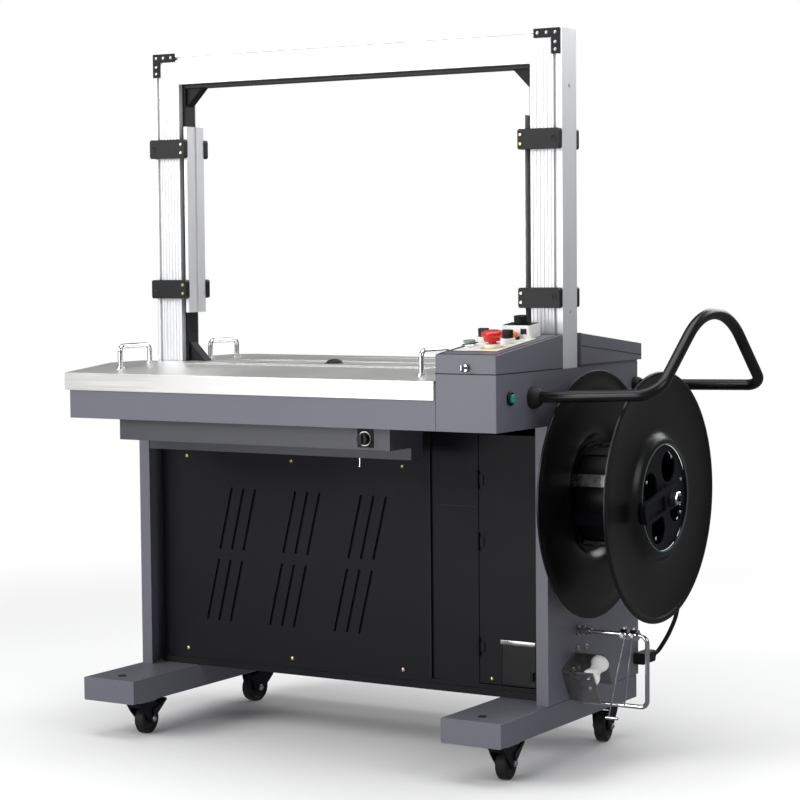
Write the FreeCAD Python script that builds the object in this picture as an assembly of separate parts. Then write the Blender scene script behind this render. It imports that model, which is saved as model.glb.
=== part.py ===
"""Arch strapping machine with a side reel, millimetres.

Built in machine coordinates: X = 0 on the outer face of the right side plate, Y = 0 on the front of the
control box, Z = 0 on the floor.  Every sub-part is moved at the end so that the origin is the bottom
centre of the whole machine's box: +X to the reel, +Y to the back, +Z up.
"""
import FreeCAD, Part
import math
import os

V = FreeCAD.Vector

# ---------------------------------------------------------------- driving dimensions
table_height = 780.0        # work surface above the floor
table_length = 893.5        # table plates along X
table_back = 629.0          # rear edge of the table
table_overhang = 2.4        # skirt in front of the apron
table_sheet = 2.0           # plate thickness
table_dip = 14.0            # drop of the front margin
table_margin = 150.0        # width of the margin that dips
table_skirt = 36.0          # height of the turned-down edge
corner_cut = 35.0           # chamfer of the table's rear corner
plate_gap = 3.0             # seam between the two table plates

body_depth = 602.0          # side plates and control box along Y
box_width = 131.0           # control box along X
box_bottom = 672.0          # underside of control box and apron
sheet = 2.5                 # painted sheet metal
panel_sheet = 2.0           # black cabinet panels
lid_front_height = 37.0
lid_rear_height = 68.0
lid_gap = 0.4               # between the lids and the box
apron_left = -1016.0        # left face of the apron

arch_front = 268.0          # front face of the arch
arch_depth = 60.0
arch_width = 66.0           # width of the extrusion
arch_left = -991.0          # outer face of the left leg
arch_top = 1440.0
arch_plate = 4.0            # plate on the outside of the right leg
extrusion_wall = 3.0
flute_pitch = 8.0
flute_depth = 1.2

foot_front = 10.0
foot_back = 593.0
foot_height = 48.5
foot_left_x = -1000.0       # left edge of the left foot
caster_height = 78.0
wheel_radius = 31.5
wheel_width = 26.0
wheel_trail = 30.0
caster_inset = 36.0         # swivel axis from the foot's right edge
caster_from_end = 62.0      # swivel axis from the foot's end

column_front = 200.0        # front edge of the side plates' columns
column_return = 26.0
left_plate_x = -993.0       # outer face of the left side plate

panel_y = 245.0             # front face of the cabinet panels
cabinet_bottom = 140.0
cabinet_top = 650.0
rear_panel_y = 586.0

reel_y = 311.0
reel_z = 533.0
reel_radius = 243.0
reel_inner_x = 48.0
reel_outer_x = 187.0
reel_core_radius = 100.0
reel_hub_radius = 116.0
reel_opening = 102.5
shaft_radius = 15.0

guard_tube = 22.0           # guard loop's tube diameter
running_gap = 0.06          # radial clearance of pins and shafts
free_gap = 0.4              # between parts that slide past each other

box_left = -box_width
box_top = table_height
arch_back = arch_front + arch_depth
arch_inner_left = arch_left + arch_width
arch_right_outer = -arch_plate
arch_inner_right = arch_right_outer - arch_width
arch_mid_y = arch_front + arch_depth / 2
table_right = box_left - plate_gap
table_left = table_right - table_length
foot_top = caster_height + foot_height
foot_width = box_width
foot_left_right_x = foot_left_x + foot_width

# feet and casters
pad_size = 58.0
pad_thick = 4.0
kingpin_radius = 5.0
kingpin_length = 10.0
yoke_top = 7.0
yoke_cheek = 3.0
cheek_gap = 1.0
axle_radius = 4.0
caster_spots = {
    "front_right": (-caster_inset, foot_front + caster_from_end, 98.0),
    "front_left": (foot_left_right_x - caster_inset, foot_front + caster_from_end, 96.0),
    "rear_right": (-caster_inset, foot_back - caster_from_end, -81.0),
    "rear_left": (foot_left_right_x - caster_inset, foot_back - caster_from_end, -100.0),
}
anchor_hole_radius = 5.0
anchor_inset = 45.0
pedal_pin_radius = 3.0
pedal_x = wheel_trail + 4.0
pedal_z = 45.0

# side plates, box and frame
side_button_y = 52.0
side_button_z = 734.0
side_button_radius = 8.0
lid_hinge_y = 266.0
lid_tilt = math.degrees(math.atan((lid_rear_height - lid_front_height) / lid_hinge_y))
lock_x = -64.0
lock_z = 792.5
lock_radius = 4.6
stem_spots = {
    "green": (-112.0, 98.0, 7.0),
    "selector_left": (-112.0, 155.0, 6.0),
    "selector_right": (-50.0, 138.0, 6.0),
    "stop": (-54.0, 84.0, 8.0),
}
speed_x = -66.0
speed_y = 221.0
slot_front = arch_front - 6
slot_back = arch_back + 6
beam_left = -901.5
beam_right = -245.0
beam_front = 20.0
beam_back = 142.0
beam_bottom = 629.0
beam_step_y = 98.0           # front of the lower step under the beam
beam_step_left = -885.0
beam_step_bottom = 605.0
dial_x = -301.0
dial_z = 651.0
seam_x = -292.0
seam_width = 22.0
door_x = -178.0
louvre_groups = (-781.0, -618.0, -455.0)
louvre_pitch = 30.3
louvre_rows = ((513.0, 381.5, 0.0), (358.5, 226.5, -36.0))
louvre_lean = 32.5
louvre_half = 3.0
door_hinges = (557.0, 434.0, 223.0)
door_pin = 1.0
hinge_radius = 2.6
hinge_y = panel_y - hinge_radius - 0.3
tray_nose = 6.0              # tray lip in front of the panels

# table plates and handles
notch_gap = 12.0
groove_rows_front = (175.0, 205.0, 235.0)
groove_rows_rear = (365.0, 400.0, 560.0)
groove_x0 = -840.0
groove_x1 = -250.0
groove_depth = 0.8
mouth_x = -556.0
mouth_radius = 24.0
handle_length = 100.0
handle_height = 44.0
handle_bar = 10.0
handle_left_x = -940.0
handle_right_x = -205.0
handle_front_y = 123.0
handle_rear_y = 440.0

# arch
bracket_thick = 3.0
bracket_arm = 57.0
bracket_width = 18.0
bracket_drop = 50.0
gusset_leg = 40.0
gusset_half = 12.0
guide_thick = 8.0
guide_half = 17.0
gate_offset = 12.0
gate_thick = 8.0
block_reach = 22.0
block_thick = 13.0
block_height = 40.0
left_block_z = (1236.0, 935.0)
right_block_z = (1227.0, 918.0)

# reel
core_angle = 114.0
bar_angle = 159.0

# guard loop and strap path on the side
guard_points = [(0, 139, 731), (262, 139, 742), (272, 379, 944), (281, 588, 738), (0, 588, 733)]
guard_radii = [45, 165, 30]
bracket_lean = 29.0           # angle of the roller's axis above the horizontal
bracket_y = 273.0
bracket_z = 156.0
bracket_reach = 68.0
bracket_span = 61.0
bracket_half = 36.0
roller_x = 57.0
roller_up = 20.0              # axle above the bracket's middle
roller_axle = 4.0
roller_radius = 20.0
roller_waist = 9.5
swing_y = 327.0
swing_z = 258.0
swing_rod = 4.5
swing_x = 151.0
swing_low = 117.0
cable_radius = 4.5
gland_x = 13.0
gland_y1 = 640.0
gland_z = 162.0
socket_x = -45.0
socket_y1 = 622.0

# machinery under the table
head_x = -556.0
motor_z = 430.0
cam_z = 690.0
motor_y = 322.0
feed_x = head_x - 60.0
feed_z = 640.0
cam_radius = 10.0
cam_pulley_radius = 38.0

NODES = {}


# ---------------------------------------------------------------- small builders
def box(x0, x1, y0, y1, z0, z1):
    """Box between two corners."""
    return Part.makeBox(x1 - x0, y1 - y0, z1 - z0, V(x0, y0, z0))


def rod(radius, start, end):
    """Solid cylinder from one point to another."""
    a = V(*start)
    d = V(*end) - a
    return Part.makeCylinder(radius, d.Length, a, d)


def ring(outer, inner, start, end):
    """Tube from one point to another."""
    a = V(*start)
    d = (V(*end) - a).normalize()
    long_core = rod(inner, tuple(a - d), tuple(V(*end) + d))
    return rod(outer, start, end).cut(long_core)


def prism(points, push):
    """Closed outline pushed along a vector."""
    wire = Part.makePolygon([V(*p) for p in points] + [V(*points[0])])
    return Part.Face(wire).extrude(V(*push))


def fuse(shapes):
    """One solid out of touching pieces."""
    first = shapes[0].multiFuse(shapes[1:]) if len(shapes) > 1 else shapes[0]
    return first.removeSplitter()


def soften(shape, radius, keep):
    """Fillet the edges that a test picks."""
    edges = [e for e in shape.Edges if keep(e)]
    return shape.makeFillet(radius, edges) if edges else shape


def along(edge, axis):
    """True for a straight edge along an axis given as x, y or z."""
    ends = [v.Point for v in edge.Vertexes]
    if len(ends) != 2 or not isinstance(edge.Curve, Part.Line):
        return False
    d = ends[1] - ends[0]
    parts = {"x": abs(d.x), "y": abs(d.y), "z": abs(d.z)}
    return parts[axis] > 0.999 * d.Length


def bent_path(points, radii):
    """Straight runs through the points, joined by tangent arcs."""
    pts = [V(*p) for p in points]
    edges = []
    last = pts[0]
    for i in range(1, len(pts) - 1):
        back = (pts[i - 1] - pts[i]).normalize()
        ahead = (pts[i + 1] - pts[i]).normalize()
        turn = math.pi - back.getAngle(ahead)
        reach = radii[i - 1] * math.tan(turn / 2)
        start = pts[i] + back * reach
        end = pts[i] + ahead * reach
        bisector = (back + ahead).normalize()
        centre = pts[i] + bisector * (radii[i - 1] / math.cos(turn / 2))
        middle = centre - bisector * radii[i - 1]
        edges.append(Part.LineSegment(last, start).toShape())
        edges.append(Part.Arc(start, middle, end).toShape())
        last = end
    edges.append(Part.LineSegment(last, pts[-1]).toShape())
    return Part.Wire(edges)


def bent_rod(radius, points, radii):
    """Round bar along a bent path."""
    path = bent_path(points, radii)
    a = V(*points[0])
    circle = Part.Wire(Part.makeCircle(radius, a, V(*points[1]) - a))
    return Part.Wire(path).makePipeShell([circle], True, False)


def turned(outline, origin, axis):
    """Solid turned about an axis; outline points are (distance along the axis, radius)."""
    pts = [V(0, r, s) for s, r in outline]
    face = Part.Face(Part.makePolygon(pts + [pts[0]]))
    solid = face.revolve(V(0, 0, 0), V(0, 0, 1), 360)
    if solid.Volume < 0:
        solid.reverse()
    place = FreeCAD.Placement(V(*origin), FreeCAD.Rotation(V(0, 0, 1), V(*axis)))
    return solid.transformGeometry(place.toMatrix())


def placed(shape, origin, turn_z=0.0):
    """Copy turned about Z and then moved."""
    out = shape.copy()
    out.rotate(V(0, 0, 0), V(0, 0, 1), turn_z)
    out.translate(V(*origin))
    return out


def group(shapes):
    """Separate solids that share a node."""
    return Part.makeCompound(shapes)


# ---------------------------------------------------------------- feet and casters


def foot(x0, sides):
    """Closed channel with a caster pad and kingpin near each end and an anchor hole in its top."""
    x1 = x0 + foot_width
    body = box(x0, x1, foot_front, foot_back, caster_height, foot_top)
    body = soften(body, 3.0, lambda e: along(e, "y"))
    hollow = box(x0 + sheet, x1 - sheet, foot_front + sheet, foot_back - sheet, caster_height + sheet,
                 foot_top - sheet)
    body = body.cut(hollow)
    mid = x0 + foot_width / 2
    anchor = rod(anchor_hole_radius, (mid, foot_front + anchor_inset, foot_top - 2 * sheet),
                 (mid, foot_front + anchor_inset, foot_top + 1))
    body = body.cut(anchor)
    pieces = [body]
    for name in sides:
        x, y, angle = caster_spots[name]
        pad = box(x - pad_size / 2, x + pad_size / 2, y - pad_size / 2, y + pad_size / 2,
                  caster_height - pad_thick, caster_height)
        pieces.append(soften(pad, 6.0, lambda e: along(e, "z")))
        pieces.append(rod(kingpin_radius, (x, y, caster_height),
                          (x, y, caster_height - pad_thick - kingpin_length)))
    return fuse(pieces)


def caster_yoke(braked):
    """Hooded fork; swivel axis at the origin and the wheel behind it along +X."""
    top = caster_height - pad_thick - free_gap
    under = top - yoke_top
    inner = wheel_width / 2 + cheek_gap
    outer = inner + yoke_cheek
    side = [(-20, -outer, top), (18, -outer, top), (wheel_trail + 24, -outer, top - 13),
            (wheel_trail + 15, -outer, wheel_radius - 4), (wheel_trail, -outer, wheel_radius - 10),
            (wheel_trail - 12, -outer, wheel_radius - 4), (-9, -outer, under - 14), (-20, -outer, under)]
    shell = prism(side, (0, 2 * outer, 0))
    tunnel = box(-15, wheel_trail + 60, -inner, inner, 0, under)
    wheel_room = rod(wheel_radius + 3, (wheel_trail, -inner, wheel_radius),
                     (wheel_trail, inner, wheel_radius))
    shell = shell.cut(tunnel).cut(wheel_room)
    turntable = rod(24, (0, 0, under), (0, 0, top))
    bore = rod(kingpin_radius + running_gap, (0, 0, under - 30), (0, 0, top + 1))
    axle = rod(axle_radius, (wheel_trail, -outer - 1.5, wheel_radius),
               (wheel_trail, outer + 1.5, wheel_radius))
    pieces = [shell, turntable, axle]
    if braked:
        for s in (-1, 1):
            pieces.append(rod(pedal_pin_radius, (pedal_x, s * (inner + 0.5), pedal_z),
                              (pedal_x, s * (outer + 3.4), pedal_z)))
    return fuse(pieces).cut(bore)


def caster_wheel():
    """Wheel with a rounded tread and hub bosses, turning on the yoke's axle."""
    half = wheel_width / 2
    outline = [(-half, axle_radius + running_gap), (-half, 11), (-half + 3, 12), (-half + 3, 22),
               (-half + 1, 24), (-half + 1, 28), (-half + 4, wheel_radius), (half - 4, wheel_radius),
               (half - 1, 28), (half - 1, 24), (half - 3, 22), (half - 3, 12), (half, 11),
               (half, axle_radius + running_gap)]
    return turned(outline, (wheel_trail, 0, wheel_radius), (0, 1, 0))


def brake_pedal():
    """Two arms outside the fork joined by a foot plate behind the wheel."""
    inner = wheel_width / 2 + cheek_gap + yoke_cheek + 0.3
    outer = inner + 3.0
    arm = [(pedal_x - 6, 0, pedal_z - 6), (pedal_x + 7, 0, pedal_z - 6), (pedal_x + 46, 0, pedal_z + 19),
           (pedal_x + 43, 0, pedal_z + 24), (pedal_x + 26, 0, pedal_z + 15),
           (pedal_x - 6, 0, pedal_z + 7)]
    pieces = []
    for s in (-1, 1):
        start = inner if s > 0 else -outer
        flat = [(x, start, z) for x, y, z in arm]
        pieces.append(prism(flat, (0, outer - inner, 0)))
    plate = [(pedal_x + 24, -outer, pedal_z + 9.5), (pedal_x + 46, -outer, pedal_z + 19),
             (pedal_x + 43, -outer, pedal_z + 24), (pedal_x + 22, -outer, pedal_z + 14)]
    pieces.append(prism(plate, (0, 2 * outer, 0)))
    body = fuse(pieces)
    bore = rod(pedal_pin_radius + running_gap, (pedal_x, -outer - 1, pedal_z),
               (pedal_x, outer + 1, pedal_z))
    return body.cut(bore)


def build_base():
    NODES["foot_left"] = foot(foot_left_x, ("front_left", "rear_left"))
    NODES["foot_right"] = foot(-foot_width, ("front_right", "rear_right"))
    for name, (x, y, angle) in caster_spots.items():
        braked = name.startswith("front")
        NODES["caster_yoke_" + name] = placed(caster_yoke(braked), (x, y, 0), angle)
        NODES["caster_wheel_" + name] = placed(caster_wheel(), (x, y, 0), angle)
        if braked:
            NODES["brake_pedal_" + name.split("_")[1]] = placed(brake_pedal(), (x, y, 0), angle)


# ---------------------------------------------------------------- side plates, box and frame
def side_frame(outer_x, inward, top):
    """Side plate with its front and rear edges turned in."""
    a, b = sorted((outer_x, outer_x + inward * sheet))
    c, d = sorted((outer_x, outer_x + inward * column_return))
    plate = box(a, b, column_front, body_depth, foot_top, top)
    front = box(c, d, column_front, column_front + sheet, foot_top, top)
    rear = box(c, d, body_depth - sheet, body_depth, foot_top, top)
    flange = box(c, d, column_front, body_depth, foot_top, foot_top + sheet)
    return fuse([plate, front, rear, flange])


def control_box():
    """Open box under the two lids, with the seat that carries the arch's right leg."""
    outer = box(box_left, 0, 0, body_depth, box_bottom, box_top)
    outer = soften(outer, 1.5, lambda e: along(e, "z"))
    inner = box(box_left + sheet, -sheet, sheet, body_depth - sheet, box_bottom + sheet, box_top + 1)
    seat = box(box_left, 0, arch_front - 2, arch_back + 8, box_top - 8, box_top)
    tower = box(box_left + 0.5, arch_inner_right - 1, arch_front - 1, arch_back + 7, box_top,
                box_top + lid_rear_height - 3)
    tower_hollow = box(box_left + 3, arch_inner_right - 3.5, arch_front + 1.5, arch_back + 4.5, box_top - 9,
                       box_top + lid_rear_height - 5.5)
    shell = fuse([outer.cut(inner), seat, tower]).cut(tower_hollow)
    button_hole = rod(side_button_radius + running_gap, (-sheet - 1, side_button_y, side_button_z),
                      (1, side_button_y, side_button_z))
    return shell.cut(button_hole)


def lid_slope_z(y):
    """Height of the control lid's top above a given Y."""
    return box_top + lid_front_height + (lid_rear_height - lid_front_height) * y / lid_hinge_y


def control_lid():
    """Sloping lid over the front of the box, open underneath, with holes for its controls."""
    z0 = box_top + lid_gap
    y1 = lid_hinge_y - 1
    outline = [(box_left, 0, z0), (box_left, y1, z0), (box_left, y1, lid_slope_z(y1)),
               (box_left, 0, lid_slope_z(0))]
    body = soften(prism(outline, (box_width, 0, 0)), 2.0, lambda e: not along(e, "x"))
    hollow = [(box_left + sheet, sheet, z0 - 1), (box_left + sheet, y1 - sheet, z0 - 1),
              (box_left + sheet, y1 - sheet, lid_slope_z(y1) - sheet),
              (box_left + sheet, sheet, lid_slope_z(0) - sheet)]
    body = body.cut(prism(hollow, (box_width - 2 * sheet, 0, 0)))
    for name, (x, y, radius) in stem_spots.items():
        body = body.cut(lid_rod(radius + running_gap, x, y, -12, 4))
    lock_hole = rod(lock_radius + running_gap, (lock_x, -1, lock_z), (lock_x, sheet + 1, lock_z))
    return body.cut(lock_hole)


def lid_point(x, y, above):
    """Point over the lid's sloping top."""
    a = math.radians(lid_tilt)
    return (x, y - above * math.sin(a), lid_slope_z(y) + above * math.cos(a))


def lid_rod(radius, x, y, low, high):
    """Cylinder standing square on the lid's sloping top."""
    return rod(radius, lid_point(x, y, low), lid_point(x, y, high))


def lid_block(x0, x1, y0, y1, low, high, corner):
    """Rounded block standing square on the lid's sloping top."""
    c = math.cos(math.radians(lid_tilt))
    block = box(x0, x1, 0, (y1 - y0) / c, low, high)
    block = soften(block, corner, lambda e: along(e, "z"))
    block.rotate(V(0, 0, 0), V(1, 0, 0), lid_tilt)
    block.translate(V(0, y0, lid_slope_z(y0)))
    return block


def round_button(spot, cap_radius, neck, cap_height, dome):
    """Push button: a stem through the lid, a neck and a cap with a rounded rim."""
    x, y, stem = stem_spots[spot]
    cap = lid_rod(cap_radius, x, y, neck, neck + cap_height)
    cap = cap.makeFillet(dome, [e for e in cap.Edges if isinstance(e.Curve, Part.Circle)])
    return fuse([lid_rod(stem, x, y, -10, neck + 1), cap])


def selector(spot):
    """Rotary selector: stem, skirt and a raised grip bar."""
    x, y, stem = stem_spots[spot]
    skirt = lid_rod(12, x, y, 12, 18)
    grip = lid_block(x - 12, x + 12, y - 4, y + 4, 18, 31, 2.0)
    return fuse([lid_rod(stem, x, y, -10, 13), skirt, grip])


def speed_box():
    """Small switch box with a label plate and a spindle hole."""
    body = lid_block(-96, -33, 196, 240, 0, 24, 4.0)
    top = lid_block(-94, -35, 198, 238, 24, 26, 4.0)
    return fuse([body, top]).cut(lid_rod(4 + running_gap, speed_x, speed_y, 12, 40))


def speed_knob():
    """Ribbed knob on a spindle."""
    knob = lid_rod(13, speed_x, speed_y, 27, 42)
    for i in range(16):
        a = math.radians(i * 360 / 16)
        knob = knob.cut(lid_rod(1.2, speed_x + 13.4 * math.cos(a), speed_y + 13.4 * math.sin(a), 26, 43))
    return fuse([knob, lid_rod(4, speed_x, speed_y, 14, 28)])


def lid_key():
    """Lock barrel with its key, turning in the lid's front wall."""
    barrel = rod(lock_radius, (lock_x, -2, lock_z), (lock_x, 12, lock_z))
    face = rod(lock_radius + 1.6, (lock_x, -3, lock_z), (lock_x, -0.3, lock_z))
    blade = box(lock_x - 0.8, lock_x + 0.8, -9, -2.5, lock_z - 3, lock_z + 3)
    bow = box(lock_x - 0.8, lock_x + 0.8, -20, -8, lock_z - 7, lock_z + 7)
    cam = box(lock_x - 4, lock_x + 4, 8, 11, lock_z - 16, lock_z + 4)
    return fuse([barrel, face, blade, soften(bow, 4.0, lambda e: along(e, "x")), cam])


def rear_cover():
    """Roof-shaped cover over the back of the box, overhanging its sides."""
    lap = 5.0
    y0 = arch_back + 8.5
    y1 = body_depth + lap + 4
    z0 = box_top + 4
    crown = box_top + lid_rear_height
    eaves = crown - 30
    x0 = box_left - 0.4
    outline = [(x0, y0, z0), (x0, y1, z0), (x0, y1, eaves), (x0, y0, crown)]
    body = soften(prism(outline, (box_width + lap + 0.4, 0, 0)), 2.0, lambda e: not along(e, "x"))
    hollow = [(x0 + sheet, y0 + sheet, z0 - 1), (x0 + sheet, y1 - sheet, z0 - 1),
              (x0 + sheet, y1 - sheet, eaves - sheet), (x0 + sheet, y0 + sheet, crown - sheet)]
    body = body.cut(prism(hollow, (box_width + lap - 2 * sheet + 0.4, 0, 0)))
    skirt = box(box_left + 1, -1, y0 + 1, body_depth - 1, box_top, z0 + 3)
    skirt = skirt.cut(box(box_left + 6, -6, y0 + 6, body_depth - 6, box_top - 1, z0 + 4))
    return fuse([body, skirt])


def table_frame():
    """Apron, side and back rails, cross rails beside the strap slot and the left leg's seat."""
    z0 = box_bottom
    top = table_height - table_sheet - free_gap
    front_top = table_height - table_dip - table_sheet - free_gap - 2
    left = apron_left
    right = box_left
    pieces = [
        box(left, right, 0, sheet, z0, front_top),
        box(left, left + sheet, 0, body_depth, z0, front_top),
        box(left, left + sheet, table_margin, body_depth, z0, top),
        box(left, right, body_depth - sheet, body_depth, z0, top),
        box(left, right, 0, 30, z0, z0 + sheet),
        box(left, right, body_depth - 30, body_depth, z0, z0 + sheet),
        box(left, left + 30, 0, body_depth, z0, z0 + sheet),
        box(right - sheet, right, 0, body_depth, z0, front_top),
    ]
    for y in (slot_front - 12, slot_back + 8):
        pieces.append(box(left, right, y, y + 4, z0 + 20, top))
    for x in (-760, -380):
        pieces.append(box(x, x + 4, 0, slot_front - 8, z0, front_top))
        pieces.append(box(x, x + 4, slot_back + 8, body_depth, z0, front_top))
    pieces.append(box(left, arch_inner_left + 14, slot_front - 12, slot_back + 12, top - 6, top))
    return fuse(pieces)


def lower_beam():
    """Cross beam under the apron, with a step along its rear half and a hole for the dial."""
    x0, x1 = beam_left, beam_right
    y0, y1 = beam_front, beam_back
    body = box(x0, x1, y0, y1, beam_bottom, box_bottom)
    step = box(beam_step_left, x1, beam_step_y, y1, beam_step_bottom, beam_bottom + sheet)
    hollow = box(x0 + sheet, x1 - sheet, y0 + sheet, y1 + 1, beam_bottom + sheet, box_bottom - sheet)
    step_hollow = box(beam_step_left + sheet, x1 - sheet, beam_step_y + sheet, y1 + 1,
                      beam_step_bottom + sheet, beam_bottom + 2 * sheet)
    beam = fuse([body, step]).cut(hollow).cut(step_hollow)
    return beam.cut(rod(4 + running_gap, (dial_x, y0 - 1, dial_z), (dial_x, y0 + sheet + 1, dial_z)))


def beam_dial():
    """Rotary dial with a pointer ridge on the lower beam."""
    knob = rod(11, (dial_x, beam_front - 14, dial_z), (dial_x, beam_front - 2.5, dial_z))
    ridge = box(dial_x - 2.5, dial_x + 2.5, beam_front - 18, beam_front - 12, dial_z - 10, dial_z + 10)
    stem = rod(4, (dial_x, beam_front - 4, dial_z), (dial_x, beam_front + 12, dial_z))
    return fuse([knob, ridge, stem])


def front_panels():
    """Louvred panel and the narrow panel beside it, each folded from one sheet."""
    x0, x1 = left_plate_x + column_return, seam_x
    wide = box(x0, x1, panel_y, panel_y + panel_sheet, cabinet_bottom + 8, cabinet_top)
    for gx in louvre_groups:
        for row_top, row_bottom, row_shift in louvre_rows:
            for i in range(3):
                wide = wide.cut(louvre(gx + row_shift + i * louvre_pitch, row_top, row_bottom))
    narrow_x0, narrow_x1 = seam_x + seam_width, door_x - 1
    step = box(x1 - 2, narrow_x0 + 2, panel_y + 5, panel_y + 7, cabinet_bottom + 8, cabinet_top)
    step = fuse([step, box(x1 - 2, x1, panel_y, panel_y + 7, cabinet_bottom + 8, cabinet_top)])
    wide = fuse([wide, step])
    narrow = box(narrow_x0, narrow_x1, panel_y, panel_y + panel_sheet, cabinet_bottom + 8, cabinet_top)
    narrow = fuse([narrow, box(narrow_x0, narrow_x0 + 2, panel_y, panel_y + 4.9, cabinet_bottom + 8,
                               cabinet_top)])
    return [wide, narrow]


def louvre(x, z_top, z_bottom):
    """Slanted slot through the panel."""
    w = louvre_half
    lean = louvre_lean
    outline = [(x - w, panel_y - 1, z_top), (x + w, panel_y - 1, z_top),
               (x + w - lean, panel_y - 1, z_bottom), (x - w - lean, panel_y - 1, z_bottom)]
    return prism(outline, (0, panel_sheet + 4, 0))


def service_door():
    """Hinged door beside the right column, with a folded edge and hinge knuckles."""
    x0, x1 = door_x + 0.6, -column_return - 2.5
    z0, z1 = cabinet_bottom + 10, cabinet_top - 2
    skin = box(x0, x1, panel_y, panel_y + panel_sheet, z0, z1)
    fold = box(x1 - 2, x1, panel_y, panel_y + 12, z0, z1)
    latch = box(-62, -55, panel_y - 5, panel_y + 1, 164, 181)
    knuckles = []
    for z in door_hinges:
        knuckles.append(ring(hinge_radius, door_pin + running_gap, (door_x, hinge_y, z - 10),
                             (door_x, hinge_y, z + 10)))
        knuckles.append(box(door_x + 1.4, door_x + 12, panel_y - 2, panel_y, z - 10, z + 10))
    return fuse([skin, fold, latch] + knuckles)


def door_hinge_pins():
    """Fixed half of each hinge: pin, two end knuckles and a leaf on the narrow panel."""
    solids = []
    for z in door_hinges:
        r = hinge_radius
        pin = rod(door_pin, (door_x, hinge_y, z - 18), (door_x, hinge_y, z + 18))
        low = rod(r, (door_x, hinge_y, z - 18), (door_x, hinge_y, z - 10.4))
        high = rod(r, (door_x, hinge_y, z + 10.4), (door_x, hinge_y, z + 18))
        leaf = box(door_x - 12, door_x - 1.4, panel_y - 2, panel_y, z - 18, z + 18)
        leaf = leaf.cut(rod(r + 0.5, (door_x, hinge_y, z - 10.4), (door_x, hinge_y, z + 10.4)))
        solids.append(fuse([pin, low, high, leaf]))
    return solids


def base_tray():
    """Floor of the cabinet with a turned-down front lip, resting on the feet's inner edges."""
    x0, x1 = left_plate_x + column_return, -column_return
    nose = panel_y - tray_nose
    floor = box(x0, x1, nose, body_depth - sheet, cabinet_bottom - 2, cabinet_bottom)
    low = foot_top + 0.3
    lip = box(x0, x1, nose, nose + 2, low, cabinet_bottom)
    back = box(x0, x1, body_depth - sheet - 2, body_depth - sheet, low, cabinet_bottom + 6)
    legs = []
    for y in (panel_y + 15, 560):
        for x in (x0, x1 - 60):
            legs.append(box(x, x + 60, y, y + 20, foot_top, cabinet_bottom))
    upstand = box(x0, x1, panel_y, panel_y + 2, cabinet_bottom - 1, cabinet_bottom + 8)
    rear_upstand = box(x0, x1, rear_panel_y, rear_panel_y + 2, cabinet_bottom - 1, cabinet_bottom + 8)
    return fuse([floor, lip, back, upstand, rear_upstand] + legs)


def rear_panel():
    """Removable back panel with two rows of vent slots."""
    x0, x1 = left_plate_x + column_return, -column_return
    skin = box(x0, x1, rear_panel_y, rear_panel_y + panel_sheet, cabinet_bottom + 8, box_bottom)
    for gx in (-760, -553, -346):
        for i in range(6):
            x = gx + i * 22
            skin = skin.cut(box(x, x + 5, rear_panel_y - 1, rear_panel_y + 5, 420, 540))
    return skin


def build_body():
    NODES["side_frame_left"] = side_frame(left_plate_x, 1, box_bottom)
    NODES["side_frame_right"] = side_frame(0.0, -1, box_bottom)
    NODES["table_frame"] = table_frame()
    NODES["control_box"] = control_box()
    NODES["control_lid"] = control_lid()
    NODES["rear_cover"] = rear_cover()
    NODES["lower_beam"] = lower_beam()
    NODES["beam_dial"] = beam_dial()
    NODES["front_panels"] = group(front_panels() + door_hinge_pins())
    NODES["service_door"] = service_door()
    NODES["base_tray"] = base_tray()
    NODES["rear_panel"] = rear_panel()


# ---------------------------------------------------------------- table plates and handles
def table_outline(y0, y1, front):
    """Side view of a plate: its flat, its dipping margin and its turned-down edge."""
    top = table_height
    t = table_sheet
    low = top - table_dip
    if front:
        y_skirt = -table_overhang
        upper = [(y_skirt, low), (table_margin, top), (y1, top)]
        lower = [(y1, top - t), (table_margin, top - t), (y_skirt + t, low - t)]
        return upper + lower + [(y_skirt + t, low - table_skirt), (y_skirt, low - table_skirt)]
    upper = [(y0, top), (y1, top), (y1, top - table_skirt - 14)]
    return upper + [(y1 - t, top - table_skirt - 14), (y1 - t, top - t), (y0, top - t)]


def table_plate(y0, y1, front):
    """Half of the work surface, with a turned-down side, grooves and notches for the left leg."""
    outline = [(table_left, y, z) for y, z in table_outline(y0, y1, front)]
    plate = prism(outline, (table_length, 0, 0))
    t = table_sheet
    low = table_height - table_skirt - (table_dip if front else 14)
    side_y0, side_y1 = (-table_overhang, y1) if front else (y0, y1 - corner_cut)
    side = box(table_left, table_left + t, side_y0, side_y1, low, table_height)
    if front:
        slope = [(table_left - 1, -table_overhang, table_height - table_dip),
                 (table_left - 1, table_margin, table_height), (table_left - 1, table_margin, 900),
                 (table_left - 1, -table_overhang - 9, 900), (table_left - 1, -table_overhang - 9, 766)]
        shell = fuse([plate, side.cut(prism(slope, (t + 2, 0, 0)))])
    else:
        shell = cut_corner(plate, side, y1, low)
    notch = box(table_left - 5, arch_inner_left + notch_gap, slot_front - 3, slot_back + 3, 600, 900)
    gusset_end = arch_inner_left + guide_thick + gusset_leg + 3
    gusset_notch = box(table_left - 5, gusset_end, arch_mid_y - gusset_half - 3,
                       arch_mid_y + gusset_half + 3, 600, 900)
    shell = shell.cut(notch).cut(gusset_notch)
    for gy in (groove_rows_front if front else groove_rows_rear):
        shell = shell.cut(box(groove_x0, groove_x1, gy - 2, gy + 2, table_height - groove_depth, 800))
    half_mouth = rod(mouth_radius, (mouth_x, arch_mid_y, 700), (mouth_x, arch_mid_y, 800))
    return shell.cut(half_mouth)


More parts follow.
